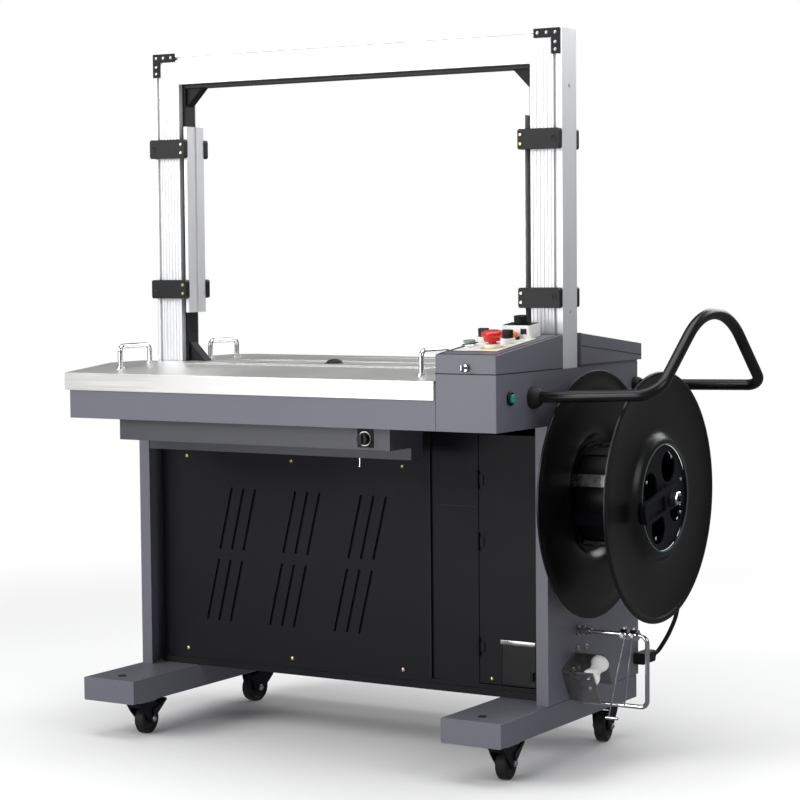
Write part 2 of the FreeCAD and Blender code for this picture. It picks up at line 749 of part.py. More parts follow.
def cut_corner(plate, side, y1, low):
    """Chamfer the rear left corner and close it with its own turned-down strip."""
    t = table_sheet
    c = corner_cut
    cut = [(table_left - 1, y1 + 1, 700), (table_left + c, y1 + 1, 700), (table_left + c, y1, 700),
           (table_left, y1 - c, 700), (table_left - 1, y1 - c, 700)]
    web = [(table_left + c, y1, low), (table_left, y1 - c, low), (table_left + t, y1 - c - 0.2 * t, low),
           (table_left + c + 0.2 * t, y1 - t, low)]
    strip = prism(web, (0, 0, table_height - t - low))
    return fuse([plate.cut(prism(cut, (0, 0, 200))), side, strip])


def handle(x, y, cutter):
    """U-shaped pull along Y on two round feet."""
    y0, y1 = y - handle_length / 2, y + handle_length / 2
    top = table_height + handle_height - handle_bar / 2
    r = handle_bar / 2
    floor = table_height - table_dip - 4
    bar = bent_rod(r, [(x, y0, floor), (x, y0, top), (x, y1, top), (x, y1, floor)], [12, 12])
    feet = []
    for foot_y in (y0, y1):
        z = min(table_height, surface_z(foot_y))
        feet.append(rod(9, (x, foot_y, floor), (x, foot_y, z + 3)))
    return fuse([bar] + feet).cut(cutter)


def surface_z(y):
    """Height of the table's surface at a given Y."""
    if y >= table_margin:
        return table_height
    return table_height - table_dip * (table_margin - y) / (table_margin + table_overhang)


def build_table():
    y_front_end = arch_mid_y - plate_gap / 2
    y_rear_start = arch_mid_y + plate_gap / 2
    NODES["table_plate_front"] = table_plate(-table_overhang, y_front_end, True)
    NODES["table_plate_rear"] = table_plate(y_rear_start, table_back, False)
    low = table_height - table_dip
    below = [(table_left, -40, 700), (table_left, -40, low), (table_left, -table_overhang, low),
             (table_left, table_margin, table_height), (table_left, table_back, table_height),
             (table_left, table_back, 700)]
    cutter = prism(below, (table_length, 0, 0))
    sides = (handle_left_x, handle_right_x)
    NODES["handles_front"] = group([handle(x, handle_front_y, cutter) for x in sides])
    NODES["handles_rear"] = group([handle(x, handle_rear_y, cutter) for x in sides])


# ---------------------------------------------------------------- arch
def arch_section(length):
    """Extrusion along +Z: inner edge at x = 0, outer edge at x = arch_width, front at y = 0."""
    w, d = arch_width, arch_depth
    front = [(0, 0)]
    for i in range(6):
        x = 5 + i * flute_pitch
        front += [(x, 0), (x + 0.6, flute_depth), (x + 2.4, flute_depth), (x + 3, 0)]
    front += [(w - 15, 0), (w - 15, 5), (w - 8, 5), (w - 8, 0), (w, 0)]
    back = [(x, d - y) for x, y in reversed(front)]
    outer = Part.Face(Part.makePolygon([V(x, y, 0) for x, y in front + back + [front[0]]]))
    t = extrusion_wall
    bar = outer.extrude(V(0, 0, length))
    chamber = box(t, w - 18, t, d - t, -1, length + 1)
    side_chamber = box(w - 6, w - 2, t, d - t, -1, length + 1)
    return bar.cut(chamber).cut(side_chamber)


def mitre_cut(bar, corner, direction):
    """Remove everything above the 45 degree plane through an inner top corner."""
    x, z = corner
    reach = 400
    if direction > 0:
        outline = [(x - 100, -50, z - 100), (x + reach, -50, z + reach), (x - 100, -50, z + reach)]
    else:
        outline = [(x + 100, -50, z - 100), (x - reach, -50, z + reach), (x + 100, -50, z + reach)]
    return bar.cut(prism(outline, (0, 800, 0)))


def build_arch():
    seat_z = table_height - table_sheet - free_gap
    inner_top = arch_top - arch_width
    left = arch_section(arch_top - seat_z + 1).mirror(V(0, 0, 0), V(1, 0, 0))
    left.translate(V(arch_inner_left, arch_front, seat_z))
    above_left = [(arch_inner_left, 0, inner_top), (arch_left - 20, 0, inner_top + arch_width + 20),
                  (arch_left - 20, 0, arch_top + 100), (arch_inner_left + 50, 0, arch_top + 100),
                  (arch_inner_left + 50, 0, inner_top)]
    NODES["arch_left_leg"] = left.cut(prism(above_left, (0, 800, 0)))

    right = arch_section(arch_top - box_top + 1)
    right.translate(V(arch_inner_right, arch_front, box_top))
    corner_top = inner_top + arch_width + 20
    above_right = [(arch_inner_right, 0, inner_top), (arch_right_outer + 20, 0, corner_top),
                   (arch_right_outer + 20, 0, arch_top + 100), (arch_inner_right - 50, 0, arch_top + 100),
                   (arch_inner_right - 50, 0, inner_top)]
    NODES["arch_right_leg"] = right.cut(prism(above_right, (0, 800, 0)))

    span = arch_right_outer - arch_left
    beam = arch_section(span)
    beam.rotate(V(0, 0, 0), V(0, 1, 0), 90)
    beam = beam.mirror(V(0, 0, 0), V(0, 0, 1))
    beam.translate(V(arch_left, arch_front, inner_top))
    for x_in, x_out, far in ((arch_inner_left, arch_left, -1), (arch_inner_right, arch_right_outer, 1)):
        wedge = [(x_in, 0, inner_top), (x_out + far * 20, 0, inner_top + arch_width + 20),
                 (x_out + far * 20, 0, inner_top - 20), (x_in, 0, inner_top - 20)]
        beam = beam.cut(prism(wedge, (0, 800, 0)))
    NODES["arch_top_beam"] = beam

    plate = box(arch_right_outer, 0, arch_front, arch_back, box_top, arch_top)
    for z in (1330.0, 890.0):
        plate = plate.cut(rod(4, (-10, arch_mid_y, z), (5, arch_mid_y, z)))
    NODES["arch_side_plate"] = plate

    t = bracket_thick
    brackets = []
    for y0 in (arch_front - t, arch_back):
        for outer, s in ((arch_left, 1), (arch_right_outer, -1)):
            xs = sorted((outer, outer + s * bracket_arm))
            xn = sorted((outer, outer + s * bracket_width))
            arm = box(xs[0], xs[1], y0, y0 + t, arch_top - bracket_width, arch_top)
            post = box(xn[0], xn[1], y0, y0 + t, arch_top - bracket_drop, arch_top)
            brackets.append(fuse([arm, post]))
    g = gusset_leg
    yg0, yg1 = arch_mid_y - gusset_half, arch_mid_y + gusset_half
    inner_left = arch_inner_left + guide_thick
    inner_right = arch_inner_right - guide_thick
    roof = inner_top - guide_thick
    for x, s, z, v in ((inner_left, 1, roof, -1), (inner_right, -1, roof, -1),
                       (inner_left, 1, table_height + 0.4, 1)):
        outline = [(x, yg0, z), (x + s * g, yg0, z), (x, yg0, z + v * g)]
        brackets.append(prism(outline, (0, yg1 - yg0, 0)))
    NODES["arch_brackets"] = group(brackets)

    base_left = table_height + 0.4
    ya, yb = arch_mid_y - guide_half, arch_mid_y + guide_half
    strip_left = box(arch_inner_left, inner_left, ya, yb, base_left, inner_top)
    strip_right = box(inner_right, arch_inner_right, ya, yb, box_top + lid_rear_height + 2, inner_top)
    strip_top = box(inner_left, inner_right, ya, yb, roof, inner_top)
    NODES["strap_guides"] = group([strip_left, strip_right, strip_top])

    NODES["strap_gates"] = group([gate(arch_inner_left + gate_offset, 1, 885.0, 1283.0),
                                  gate(arch_inner_right - gate_offset, -1, 852.0, 1275.0)])
    blocks = []
    for x0, x1, spots in ((arch_left - 4, arch_inner_left + block_reach, left_block_z),
                          (arch_inner_right - block_reach, -1.0, right_block_z)):
        for z in spots:
            for y0, y1 in ((arch_front - block_thick, arch_front), (arch_back, arch_back + block_thick)):
                block = box(x0, x1, y0, y1, z - block_height / 2, z + block_height / 2)
                blocks.append(soften(block, 5.0, lambda e: along(e, "y")))
    NODES["clamp_blocks"] = group(blocks)


def gate(x, s, z0, z1):
    """Channel bar held in front of the strap guide by the clamp blocks."""
    y0, y1 = arch_front, arch_back
    web = box(*sorted((x + s * 2, x + s * gate_thick)), y0, y1, z0, z1)
    lip_front = box(*sorted((x, x + s * gate_thick)), y0, y0 + 5, z0, z1)
    lip_back = box(*sorted((x, x + s * gate_thick)), y1 - 5, y1, z0, z1)
    groove = box(*sorted((x + s * (gate_thick - 2), x + s * (gate_thick + 1))), arch_mid_y - 4,
                 arch_mid_y + 4, z0 - 1, z1 + 1)
    return fuse([web, lip_front, lip_back]).cut(groove)


# ---------------------------------------------------------------- reel
def reel_flange(x, s, opening):
    """Dished disc with a rolled rim and a raised hub ring; s is the side it bulges to."""
    r = reel_radius
    outline = [(-2.5, r), (2.5, r), (2.5, r - 9), (0, r - 12), (-6, r - 40), (-8, reel_hub_radius + 26),
               (-4, reel_hub_radius + 8), (6, reel_hub_radius), (9, opening + 6), (9, opening),
               (6.5, opening), (6.5, opening + 5), (3.5, reel_hub_radius - 2), (-6.5, reel_hub_radius + 8),
               (-10.5, reel_hub_radius + 26), (-8.5, r - 40), (-2.5, r - 14)]
    return turned([(s * a, b) for a, b in outline], (x, reel_y, reel_z), (1, 0, 0))


def reel_core():
    """Sleeve on the shaft with four spiders that carry the coil bars, and two end discs."""
    x0, x1 = reel_inner_x - 8, reel_outer_x + 6
    sleeve = ring(26, shaft_radius + running_gap, (x0 - 12, reel_y, reel_z), (x1, reel_y, reel_z))
    pieces = [sleeve]
    for x in (x0, x1 - 4):
        disc = ring(reel_opening - 0.4, shaft_radius + running_gap, (x, reel_y, reel_z),
                    (x + 4, reel_y, reel_z))
        for i in range(4):
            a = math.radians(core_angle + 45 + i * 90)
            cy, cz = reel_y + 62 * math.cos(a), reel_z + 62 * math.sin(a)
            disc = disc.cut(rod(30, (x - 1, cy, cz), (x + 5, cy, cz)))
        pieces.append(disc)
    for i in range(4):
        shoe = box(x0 + 2, x1 - 2, -14, 14, 60, reel_opening - 6)
        web = box(x0 + 2, x1 - 2, -2.5, 2.5, 20, 62)
        arm = fuse([shoe.cut(box(x0 + 10, x1 - 10, -15, 15, 59, reel_opening - 11)), web])
        arm.rotate(V(0, 0, 0), V(1, 0, 0), core_angle - 90 + i * 90)
        arm.translate(V(0, reel_y, reel_z))
        pieces.append(arm)
    return fuse(pieces)


def reel_bars():
    """Four flat bars along the axle that hold the inside of the coil."""
    solids = []
    for i in range(4):
        bar = box(reel_inner_x - 3.6, reel_outer_x + 1.6, -12, 12, reel_opening - 5.6, reel_opening - 0.6)
        bar.rotate(V(0, 0, 0), V(1, 0, 0), bar_angle - 90 + i * 90)
        bar.translate(V(0, reel_y, reel_z))
        solids.append(bar)
    return group(solids)


def reel_shaft():
    """Bearing flange on the side plate with the fixed shaft."""
    flange = rod(55, (0, reel_y, reel_z), (8, reel_y, reel_z))
    boss = rod(32, (8, reel_y, reel_z), (24, reel_y, reel_z))
    shaft = rod(shaft_radius, (24, reel_y, reel_z), (reel_outer_x + 10, reel_y, reel_z))
    return fuse([flange, boss, shaft])


def reel_crank():
    """Clamping lever across the hub with its hexagon nut."""
    x = reel_outer_x + 12
    lever = box(x, x + 12, -118, 34, -21, 21)
    lever = soften(lever, 14.0, lambda e: along(e, "x"))
    lever = lever.cut(box(x + 7, x + 13, -108, -30, -14, 14))
    lever.rotate(V(0, 0, 0), V(1, 0, 0), 12)
    lever.translate(V(0, reel_y, reel_z))
    washer = rod(17, (x + 12, reel_y, reel_z), (x + 15, reel_y, reel_z))
    nut_points = [(x + 15, reel_y + 13 * math.cos(math.radians(60 * i)),
                   reel_z + 13 * math.sin(math.radians(60 * i))) for i in range(6)]
    nut = prism(nut_points, (12, 0, 0))
    stud = rod(6, (x + 26, reel_y, reel_z), (x + 32, reel_y, reel_z))
    boss = rod(20, (reel_outer_x + 6, reel_y, reel_z), (x + 1, reel_y, reel_z))
    boss = boss.cut(rod(shaft_radius + 1, (reel_outer_x, reel_y, reel_z), (reel_outer_x + 10.5, reel_y,
                                                                        reel_z)))
    return fuse([lever, washer, nut, stud, boss])


def build_reel():
    NODES["reel_shaft"] = reel_shaft()
    NODES["reel_inner_flange"] = reel_flange(reel_inner_x, -1, reel_opening)
    NODES["reel_outer_flange"] = reel_flange(reel_outer_x, 1, reel_opening)
    NODES["reel_core"] = reel_core()
    NODES["reel_bars"] = reel_bars()
    NODES["reel_crank"] = reel_crank()


# ---------------------------------------------------------------- guard loop and strap path on the side


def build_guard():
    tube = bent_rod(guard_tube / 2, guard_points, guard_radii)
    flanges = [rod(20, guard_points[0], (7, 139, 731)), rod(13.5, guard_points[-1], (7, 588, 733))]
    keep = box(0, 400, 0, 800, 600, 1100)
    NODES["guard_loop"] = fuse([tube.common(keep)] + flanges)


def from_bracket(shape):
    """Move a shape from the bracket's own frame: +Z along the roller, +X out of the side plate."""
    out = shape.copy()
    out.rotate(V(0, 0, 0), V(1, 0, 0), bracket_lean - 90)
    out.translate(V(0, bracket_y, bracket_z))
    return out


def roller_bracket():
    """Folded channel on the side plate: back plate and two cheeks that hold the roller's axle."""
    h = bracket_half
    back = box(0, sheet, -h, h, 0, bracket_span)
    near = box(0, bracket_reach, -h, h, 0, sheet)
    far = box(0, bracket_reach, -h, h, bracket_span - sheet, bracket_span)
    axle = rod(roller_axle, (roller_x, -roller_up, -4), (roller_x, -roller_up, bracket_span + 4))
    return from_bracket(fuse([back, near, far, axle]))


def guide_roller():
    """Waisted plastic roller turning on the bracket's axle."""
    a, b = sheet + 1, bracket_span - sheet - 1
    bore = roller_axle + running_gap
    r = roller_radius
    mid = (a + b) / 2
    outline = [(a, bore), (a, r - 1), (a + 1, r), (a + 9, r), (a + 14, r - 4), (a + 19, r - 8),
               (mid, roller_waist), (b - 19, r - 8), (b - 14, r - 4), (b - 9, r), (b - 1, r),
               (b, r - 1), (b, bore)]
    roller = turned(outline, (0, 0, 0), (0, 0, 1))
    roller.translate(V(roller_x, -roller_up, 0))
    return from_bracket(roller)


def tension_rod():
    """Swinging frame: bent bar hung on the pivot block, with two clamps and two wire guides."""
    bar = bent_rod(swing_rod, [(14, swing_y, swing_z), (swing_x, swing_y, swing_z),
                               (swing_x, swing_y, swing_low), (8, swing_y, swing_low)], [16, 14])
    tip = rod(6, (6, swing_y, swing_low), (16, swing_y, swing_low))
    clamps = [ring(11, 4, (x, swing_y, swing_z), (x + 14, swing_y, swing_z)) for x in (96, 117)]
    front_wire = rod(1.6, (107, swing_y - 9, swing_z - 3), (76, swing_y - 19, 94))
    rear_wire = rod(1.6, (123, swing_y - 9, swing_z - 3), (103, swing_y - 3, swing_low))
    peg = rod(3, (70, swing_y - 19, 93), (96, swing_y - 19, 93))
    return fuse([bar, tip, front_wire, rear_wire, peg] + clamps)


def rod_pivot():
    """Pivot block on the side plate that the swinging frame hangs from."""
    base = rod(14, (0, swing_y, swing_z), (4, swing_y, swing_z))
    sleeve = rod(9, (4, swing_y, swing_z), (32, swing_y, swing_z))
    bore = rod(swing_rod + running_gap, (12, swing_y, swing_z), (40, swing_y, swing_z))
    return fuse([base, sleeve]).cut(bore)


def build_side_gear():
    NODES["roller_bracket"] = roller_bracket()
    NODES["guide_roller"] = guide_roller()
    NODES["tension_rod"] = tension_rod()
    NODES["rod_pivot"] = rod_pivot()
    plunger = rod(side_button_radius, (-12, side_button_y, side_button_z),
                  (9, side_button_y, side_button_z))
    NODES["side_button"] = plunger.makeFillet(1.5, [plunger.Edges[0]])
    route = [(gland_x, gland_y1 + 0.5, gland_z), (15, 664, 163), (38, 668, 200), (58, 668, 245),
             (66, 664, 300), (64, 662, 370), (50, 662, 450), (20, 662, 540), (-20, 660, 610),
             (socket_x, 652, 655),
             (socket_x, socket_y1, 655)]
    radii = route_radii(route)
    cable = bent_rod(cable_radius, route, radii)
    gland = box(0, 26, 578, gland_y1 - 8, gland_z - 12, gland_z + 12)
    gland = fuse([soften(gland, 4.0, lambda e: along(e, "y")),
                  rod(10.5, (gland_x, gland_y1 - 9, gland_z), (gland_x, gland_y1, gland_z))])
    socket = rod(12, (socket_x, body_depth, 655), (socket_x, socket_y1, 655))
    NODES["reel_lead"] = group([cable, gland, socket])


def route_radii(points):
    """Arc radius at each inner point: 0.45 of the shorter run over the tangent of half the turn."""
    radii = []
    for i in range(1, len(points) - 1):
        before = V(*points[i]) - V(*points[i - 1])
        after = V(*points[i + 1]) - V(*points[i])
        half_turn = before.getAngle(after) / 2
        radii.append(0.45 * min(before.Length, after.Length) / math.tan(half_turn))
    return radii


# ---------------------------------------------------------------- controls
def build_controls():
    NODES["start_button"] = round_button("green", 12, 8.2, 4, 1.0)
    NODES["selector_left"] = selector("selector_left")
    NODES["selector_right"] = selector("selector_right")
    NODES["stop_button"] = stop_button()
    NODES["speed_box"] = speed_box()
    NODES["speed_knob"] = speed_knob()
    NODES["lid_key"] = lid_key()


def stop_button():
    """Mushroom button: stem, tapering body and a wide crowned cap."""
    x, y, stem = stem_spots["stop"]
    top = lid_point(x, y, 0)
    outline = [(-10, 0), (-10, stem), (14, stem), (14.5, 15), (24, 17), (25, 20), (33, 20), (36, 18),
               (38, 13), (38.6, 0)]
    a = math.radians(lid_tilt)
    return turned(outline, top, (0, -math.sin(a), math.cos(a)))


# ---------------------------------------------------------------- machinery under the table


def head_block():
    """Machined block under the table's mouth, hung on two brackets from the cross rails."""
    top = table_height - table_sheet - free_gap - 10
    body = box(head_x - 90, head_x + 90, arch_mid_y - 24, arch_mid_y + 24, 600, top)
    arms = [box(head_x - 90, head_x - 70, slot_front - 7.9, slot_back + 7.9, 700, 740),
            box(head_x + 70, head_x + 90, slot_front - 7.9, slot_back + 7.9, 700, 740)]
    body = fuse([body] + arms)
    body = body.cut(rod(cam_radius + running_gap, (head_x - 200, arch_mid_y, cam_z),
                        (head_x + 200, arch_mid_y, cam_z)))
    for x in (head_x - 30, head_x + 30):
        body = body.cut(box(x - 14, x + 14, arch_mid_y - 30, arch_mid_y + 30, cam_z - 34, cam_z + 34))
    feed_stub = rod(6, (feed_x, arch_mid_y + 20, feed_z), (feed_x, arch_mid_y + 60, feed_z))
    return fuse([body, feed_stub])


def camshaft():
    """Shaft with two cams and the driven pulley."""
    pieces = [rod(cam_radius, (head_x - 130, arch_mid_y, cam_z), (head_x + 130, arch_mid_y, cam_z))]
    for x, lift in ((head_x - 30, 6), (head_x + 30, -6)):
        pieces.append(rod(24, (x - 10, arch_mid_y, cam_z + lift), (x + 10, arch_mid_y, cam_z + lift)))
    pieces.append(ring(cam_pulley_radius, cam_radius - 1, (head_x + 108, arch_mid_y, cam_z),
                       (head_x + 124, arch_mid_y, cam_z)))
    return fuse(pieces)


def feed_roller():
    """Rubber-faced roller that drives the strap."""
    start = (feed_x, arch_mid_y + 26, feed_z)
    return ring(28, 6 + running_gap, start, (feed_x, arch_mid_y + 56, feed_z))


def drive_motor():
    """Motor and gear housing on the cabinet floor's pedestal."""
    x, y, z = head_x, motor_y, motor_z
    floor = cabinet_bottom
    stand = box(x - 60, x + 140, y - 60, y + 60, floor, floor + 8)
    post = box(x + 10, x + 70, y - 40, y + 40, floor + 8, z - 60)
    body = rod(62, (x - 60, y, z), (x + 80, y, z))
    cap = rod(50, (x - 75, y, z), (x - 60, y, z))
    shaft = rod(7, (x + 80, y, z), (x + 126, y, z))
    pulley = ring(26, 6, (x + 108, y, z), (x + 124, y, z))
    return fuse([stand, post, body, cap, shaft, pulley])


def build_machinery():
    NODES["head_block"] = head_block()
    NODES["camshaft"] = camshaft()
    NODES["feed_roller"] = feed_roller()
    NODES["drive_motor"] = drive_motor()


def build_all():
    build_base()
    build_body()
    build_table()
    build_arch()
    build_reel()
    build_guard()
    build_side_gear()
    build_controls()
    build_machinery()
    whole = Part.makeCompound(list(NODES.values())).optimalBoundingBox(False)
    shift = V(-(whole.XMin + whole.XMax) / 2, -(whole.YMin + whole.YMax) / 2, -whole.ZMin)
    os.makedirs("parts", exist_ok=True)
    for name, shape in NODES.items():
        moved = shape.copy()
        moved.translate(shift)
        moved.exportStep("parts/" + name + ".step")
    size = (whole.XLength, whole.YLength, whole.ZLength)
    print("shift", [round(c, 4) for c in shift], "size", [round(c, 3) for c in size])
    print("nodes", len(NODES), "solids", sum(len(s.Solids) for s in NODES.values()))
    for name, shape in NODES.items():
        if not shape.isValid() or any(s.Volume <= 0 for s in shape.Solids) or not shape.Solids:
            print("CHECK", name, shape.isValid(), [round(s.Volume, 1) for s in shape.Solids])
    return shift


build_all()
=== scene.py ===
"""Looks of the arch strapping machine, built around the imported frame.  Metres, Z up, +X to the reel."""
import math

import bmesh
import bpy
from mathutils import Matrix, Vector


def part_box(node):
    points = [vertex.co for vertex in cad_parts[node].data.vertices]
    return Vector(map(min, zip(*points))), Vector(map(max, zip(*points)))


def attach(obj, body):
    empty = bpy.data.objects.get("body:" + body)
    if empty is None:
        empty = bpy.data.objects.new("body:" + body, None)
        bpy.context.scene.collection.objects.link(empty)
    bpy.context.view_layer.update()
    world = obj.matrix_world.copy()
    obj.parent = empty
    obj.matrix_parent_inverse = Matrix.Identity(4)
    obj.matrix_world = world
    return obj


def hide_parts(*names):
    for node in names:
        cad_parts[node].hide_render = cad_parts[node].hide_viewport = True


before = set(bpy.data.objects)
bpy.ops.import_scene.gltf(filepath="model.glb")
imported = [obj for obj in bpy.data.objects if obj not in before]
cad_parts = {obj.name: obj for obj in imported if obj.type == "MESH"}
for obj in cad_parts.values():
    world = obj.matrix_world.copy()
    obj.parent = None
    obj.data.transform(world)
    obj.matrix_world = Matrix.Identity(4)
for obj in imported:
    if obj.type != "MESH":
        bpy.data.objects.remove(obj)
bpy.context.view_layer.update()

MM = 0.001
SIDE_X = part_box("arch_side_plate")[1][0]    # outer face of the right side
FRONT_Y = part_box("control_box")[0][1]       # front of the control box
LID_HINGE_Y = 266.0
LID_FRONT_Z = 817.0
LID_REAR_Z = 848.0
LID_TILT = math.atan((LID_REAR_Z - LID_FRONT_Z) / LID_HINGE_Y)
PANEL_Y = 245.0                             # front face of the cabinet panels
BEAM_Y = 20.0                               # front face of the lower beam
TABLE_Z = 780.0                             # work surface
REEL_Y, REEL_Z = 311.0, 533.0               # axis of the reel
SWING_Y, SWING_Z = 327.0, 258.0             # axis of the swinging rod
BRACKET_Y, BRACKET_Z = 273.0, 156.0         # middle of the roller bracket
BRACKET_LEAN = math.radians(29)             # roller's axis above the horizontal
ROLLER_X = 57.0
ROLLER_UP = 20.0                            # start of the roller above the bracket's middle
ARCH_FRONT_Y, ARCH_REAR_Y = 265.0, 331.0    # outer faces of the corner brackets
CLAMP_FRONT_Y, CLAMP_REAR_Y = 255.0, 341.0  # outer faces of the clamp blocks
ARCH_WIDTH = 995.0
WHEEL_Z = 31.5                              # height of the casters' axles
CASTER_TRAIL = 30.0                         # axle behind the kingpin
START, STOP, LAMP, SPEED = (-112, 98), (-54, 84), (-62, 185), (-66, 221)
SELECTORS = (("left", -112, 155), ("right", -50, 138))
DIAL_X, DIAL_Z = -301, 651
SIDE_BUTTON_Y, SIDE_BUTTON_Z = 52, 734
CASTERS = (("front_right", -36, 72, 98), ("front_left", -905, 72, 96),
           ("rear_right", -36, 531, -81), ("rear_left", -905, 531, -100))
FOCAL_LENGTH = 101.4255                     # of the lens, for a sensor 36 wide
SENSOR_WIDTH = 36.0


def at(x, y, z):
    """Point from the machine's right side, front and floor, in millimetres."""
    return Vector((SIDE_X + x * MM, FRONT_Y + y * MM, z * MM))


def on_lid(x, y, above):
    """Point over the lid's sloping top, in machine millimetres."""
    top = LID_FRONT_Z + math.tan(LID_TILT) * y
    return (x, y - above * math.sin(LID_TILT), top + above * math.cos(LID_TILT))


# ---------------------------------------------------------------- mesh builders
def frame_of(start, end):
    """Matrix that puts +Z along the line from start to end, with its origin at start."""
    a, b = at(*start), at(*end)
    return Matrix.Translation(a) @ (b - a).to_track_quat("Z", "Y").to_matrix().to_4x4()


def add_block(bm, low, high, bevel=0.0, segments=2):
    """Block between two corners, with all its edges rounded."""
    a, b = at(*low), at(*high)
    made = bmesh.ops.create_cube(bm, size=1.0)["verts"]
    bmesh.ops.scale(bm, vec=b - a, verts=made)
    bmesh.ops.translate(bm, vec=(a + b) / 2, verts=made)
    if bevel:
        edges = list({e for v in made for e in v.link_edges})
        bmesh.ops.bevel(bm, geom=edges, offset=bevel * MM, offset_type="OFFSET", segments=segments,
                        profile=0.5, affect="EDGES", material=-1, clamp_overlap=True)


def add_lid_block(bm, x0, x1, y0, y1, low, high, bevel=0.0, segments=2):
    """Block standing square on the lid's sloping top."""
    first = len(bm.verts)
    origin = at(0, 0, 0)
    length = (y1 - y0) / math.cos(LID_TILT)
    add_block(bm, (x0, 0, low), (x1, length, high), bevel, segments)
    bm.verts.ensure_lookup_table()
    made = bm.verts[first:]
    bmesh.ops.rotate(bm, cent=origin, matrix=Matrix.Rotation(LID_TILT, 3, "X"), verts=made)
    bmesh.ops.translate(bm, vec=at(*on_lid(0, y0, 0)) - origin, verts=made)


def add_turned(bm, profile, start, toward, sides=40):
    """Profile of (along, radius) in millimetres, spun about a line."""
    first = len(bm.verts)
    chain = [bm.verts.new((r * MM, 0, s * MM)) for s, r in profile]
    edges = [bm.edges.new(pair) for pair in zip(chain, chain[1:])]
    bmesh.ops.spin(bm, geom=chain + edges, cent=(0, 0, 0), axis=(0, 0, 1), angle=2 * math.pi, steps=sides,
                   use_merge=True, use_duplicate=False)
    bm.verts.ensure_lookup_table()
    made = bm.verts[first:]
    bmesh.ops.transform(bm, matrix=frame_of(start, toward), verts=made)


def add_ring(bm, profile, start, toward, sides=40):
    """Closed profile spun about a line."""
    add_turned(bm, profile + profile[:1], start, toward, sides)


def add_rod(bm, radius, start, end, rim=0.4, sides=32):
    """Round bar with softened ends."""
    length = (at(*end) - at(*start)).length / MM
    rim = min(rim, radius * 0.6)
    profile = [(0, 0), (0, radius - rim), (rim, radius), (length - rim, radius), (length, radius - rim),
               (length, 0)]
    add_turned(bm, profile, start, end, sides)


def add_dome_screw(bm, spot, toward, radius, height):
    """Pan-head screw with a raised, softened crown and a round recess in its top."""
    profile = [(-0.5, 0), (-0.5, radius), (height * 0.35, radius), (height * 0.75, radius * 0.82),
               (height, radius * 0.45), (height, radius * 0.32), (height * 0.55, radius * 0.26),
               (height * 0.55, 0)]
    add_turned(bm, profile, spot, toward, 20)


def lid_frame():
    """Matrix from the lid's own plane: X along the front, Y up the slope, Z off the top."""
    return Matrix.Translation(at(0, 0, LID_FRONT_Z)) @ Matrix.Rotation(LID_TILT, 4, "X")


def wall_frame(y):
    """Matrix from a front wall: X along the front, Y upward, Z toward the operator."""
    return Matrix.Translation(at(0, y, 0)) @ Matrix.Rotation(math.pi / 2, 4, "X")


def add_sheet(bm, low, high, holes, above, thick, place):
    """Thin plate between two corners with round holes (x, y, radius), laid in the frame it is given."""
    first = len(bm.verts)
    made = bmesh.ops.create_grid(bm, x_segments=1, y_segments=1, size=0.5)["verts"]
    bmesh.ops.delete(bm, geom=list({f for v in made for f in v.link_faces}), context="FACES_ONLY")
    width, depth = high[0] - low[0], high[1] - low[1]
    bmesh.ops.scale(bm, vec=(width * MM, depth * MM, 1), verts=made)
    middle = Vector(((low[0] + high[0]) / 2 * MM, (low[1] + high[1]) / 2 * MM, 0))
    bmesh.ops.translate(bm, vec=middle, verts=made)
    for x, y, radius in holes:
        spot = Matrix.Translation((x * MM, y * MM, 0))
        made += bmesh.ops.create_circle(bm, cap_ends=False, segments=36, radius=radius * MM,
                                        matrix=spot)["verts"]
    edges = list({e for v in made for e in v.link_edges})
    filled = bmesh.ops.triangle_fill(bm, use_beauty=True, use_dissolve=False, edges=edges)["geom"]
    faces = [f for f in filled if isinstance(f, bmesh.types.BMFace)]
    bmesh.ops.solidify(bm, geom=faces, thickness=thick * MM)
    bm.verts.ensure_lookup_table()
    made = bm.verts[first:]
    mid = sum(v.co.z for v in made) / len(made)
    bmesh.ops.translate(bm, vec=(0, 0, (above + thick / 2) * MM - mid), verts=made)
    bmesh.ops.transform(bm, matrix=place, verts=made)


def add_hex_nut(bm, spot, toward, across, height, stud=0.0):
    """Hexagon nut or bolt head with a chamfered crown."""
    r = across / 2 / math.cos(math.radians(30))
    profile = [(0, 0), (0, r), (height * 0.82, r), (height, r * 0.86), (height, 0)]
    add_turned(bm, profile, spot, toward, 6)
    if stud:
        end = tuple(a + (b - a) * (height + stud) for a, b in zip(spot, toward))
        add_rod(bm, across * 0.3, spot, end, 0.6, 20)


def finish_piece(name, bm, body, material, replaces=(), sharp=32.0):
    """Mesh object out of a bmesh, riding on a CAD body."""
    bmesh.ops.remove_doubles(bm, verts=bm.verts, dist=2e-6)
    bmesh.ops.recalc_face_normals(bm, faces=bm.faces)
    mesh = bpy.data.meshes.new(name)
    bm.to_mesh(mesh)
    bm.free()
    for face in mesh.polygons:
        face.use_smooth = True
    mesh.set_sharp_from_angle(angle=math.radians(sharp))
    piece = bpy.data.objects.new(name, mesh)
    bpy.context.scene.collection.objects.link(piece)
    mesh.materials.append(material)
    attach(piece, body)
    if replaces:
        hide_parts(*replaces)


# ---------------------------------------------------------------- shader groups
def new_group(name, inputs, outputs):
    """Empty shader group with named sockets."""
    tree = bpy.data.node_groups.new(name, "ShaderNodeTree")
    for title, kind, value in inputs:
        socket = tree.interface.new_socket(name=title, in_out="INPUT", socket_type=kind)
        socket.default_value = value
    for title, kind in outputs:
        tree.interface.new_socket(name=title, in_out="OUTPUT", socket_type=kind)
    return tree, tree.nodes.new("NodeGroupInput"), tree.nodes.new("NodeGroupOutput")


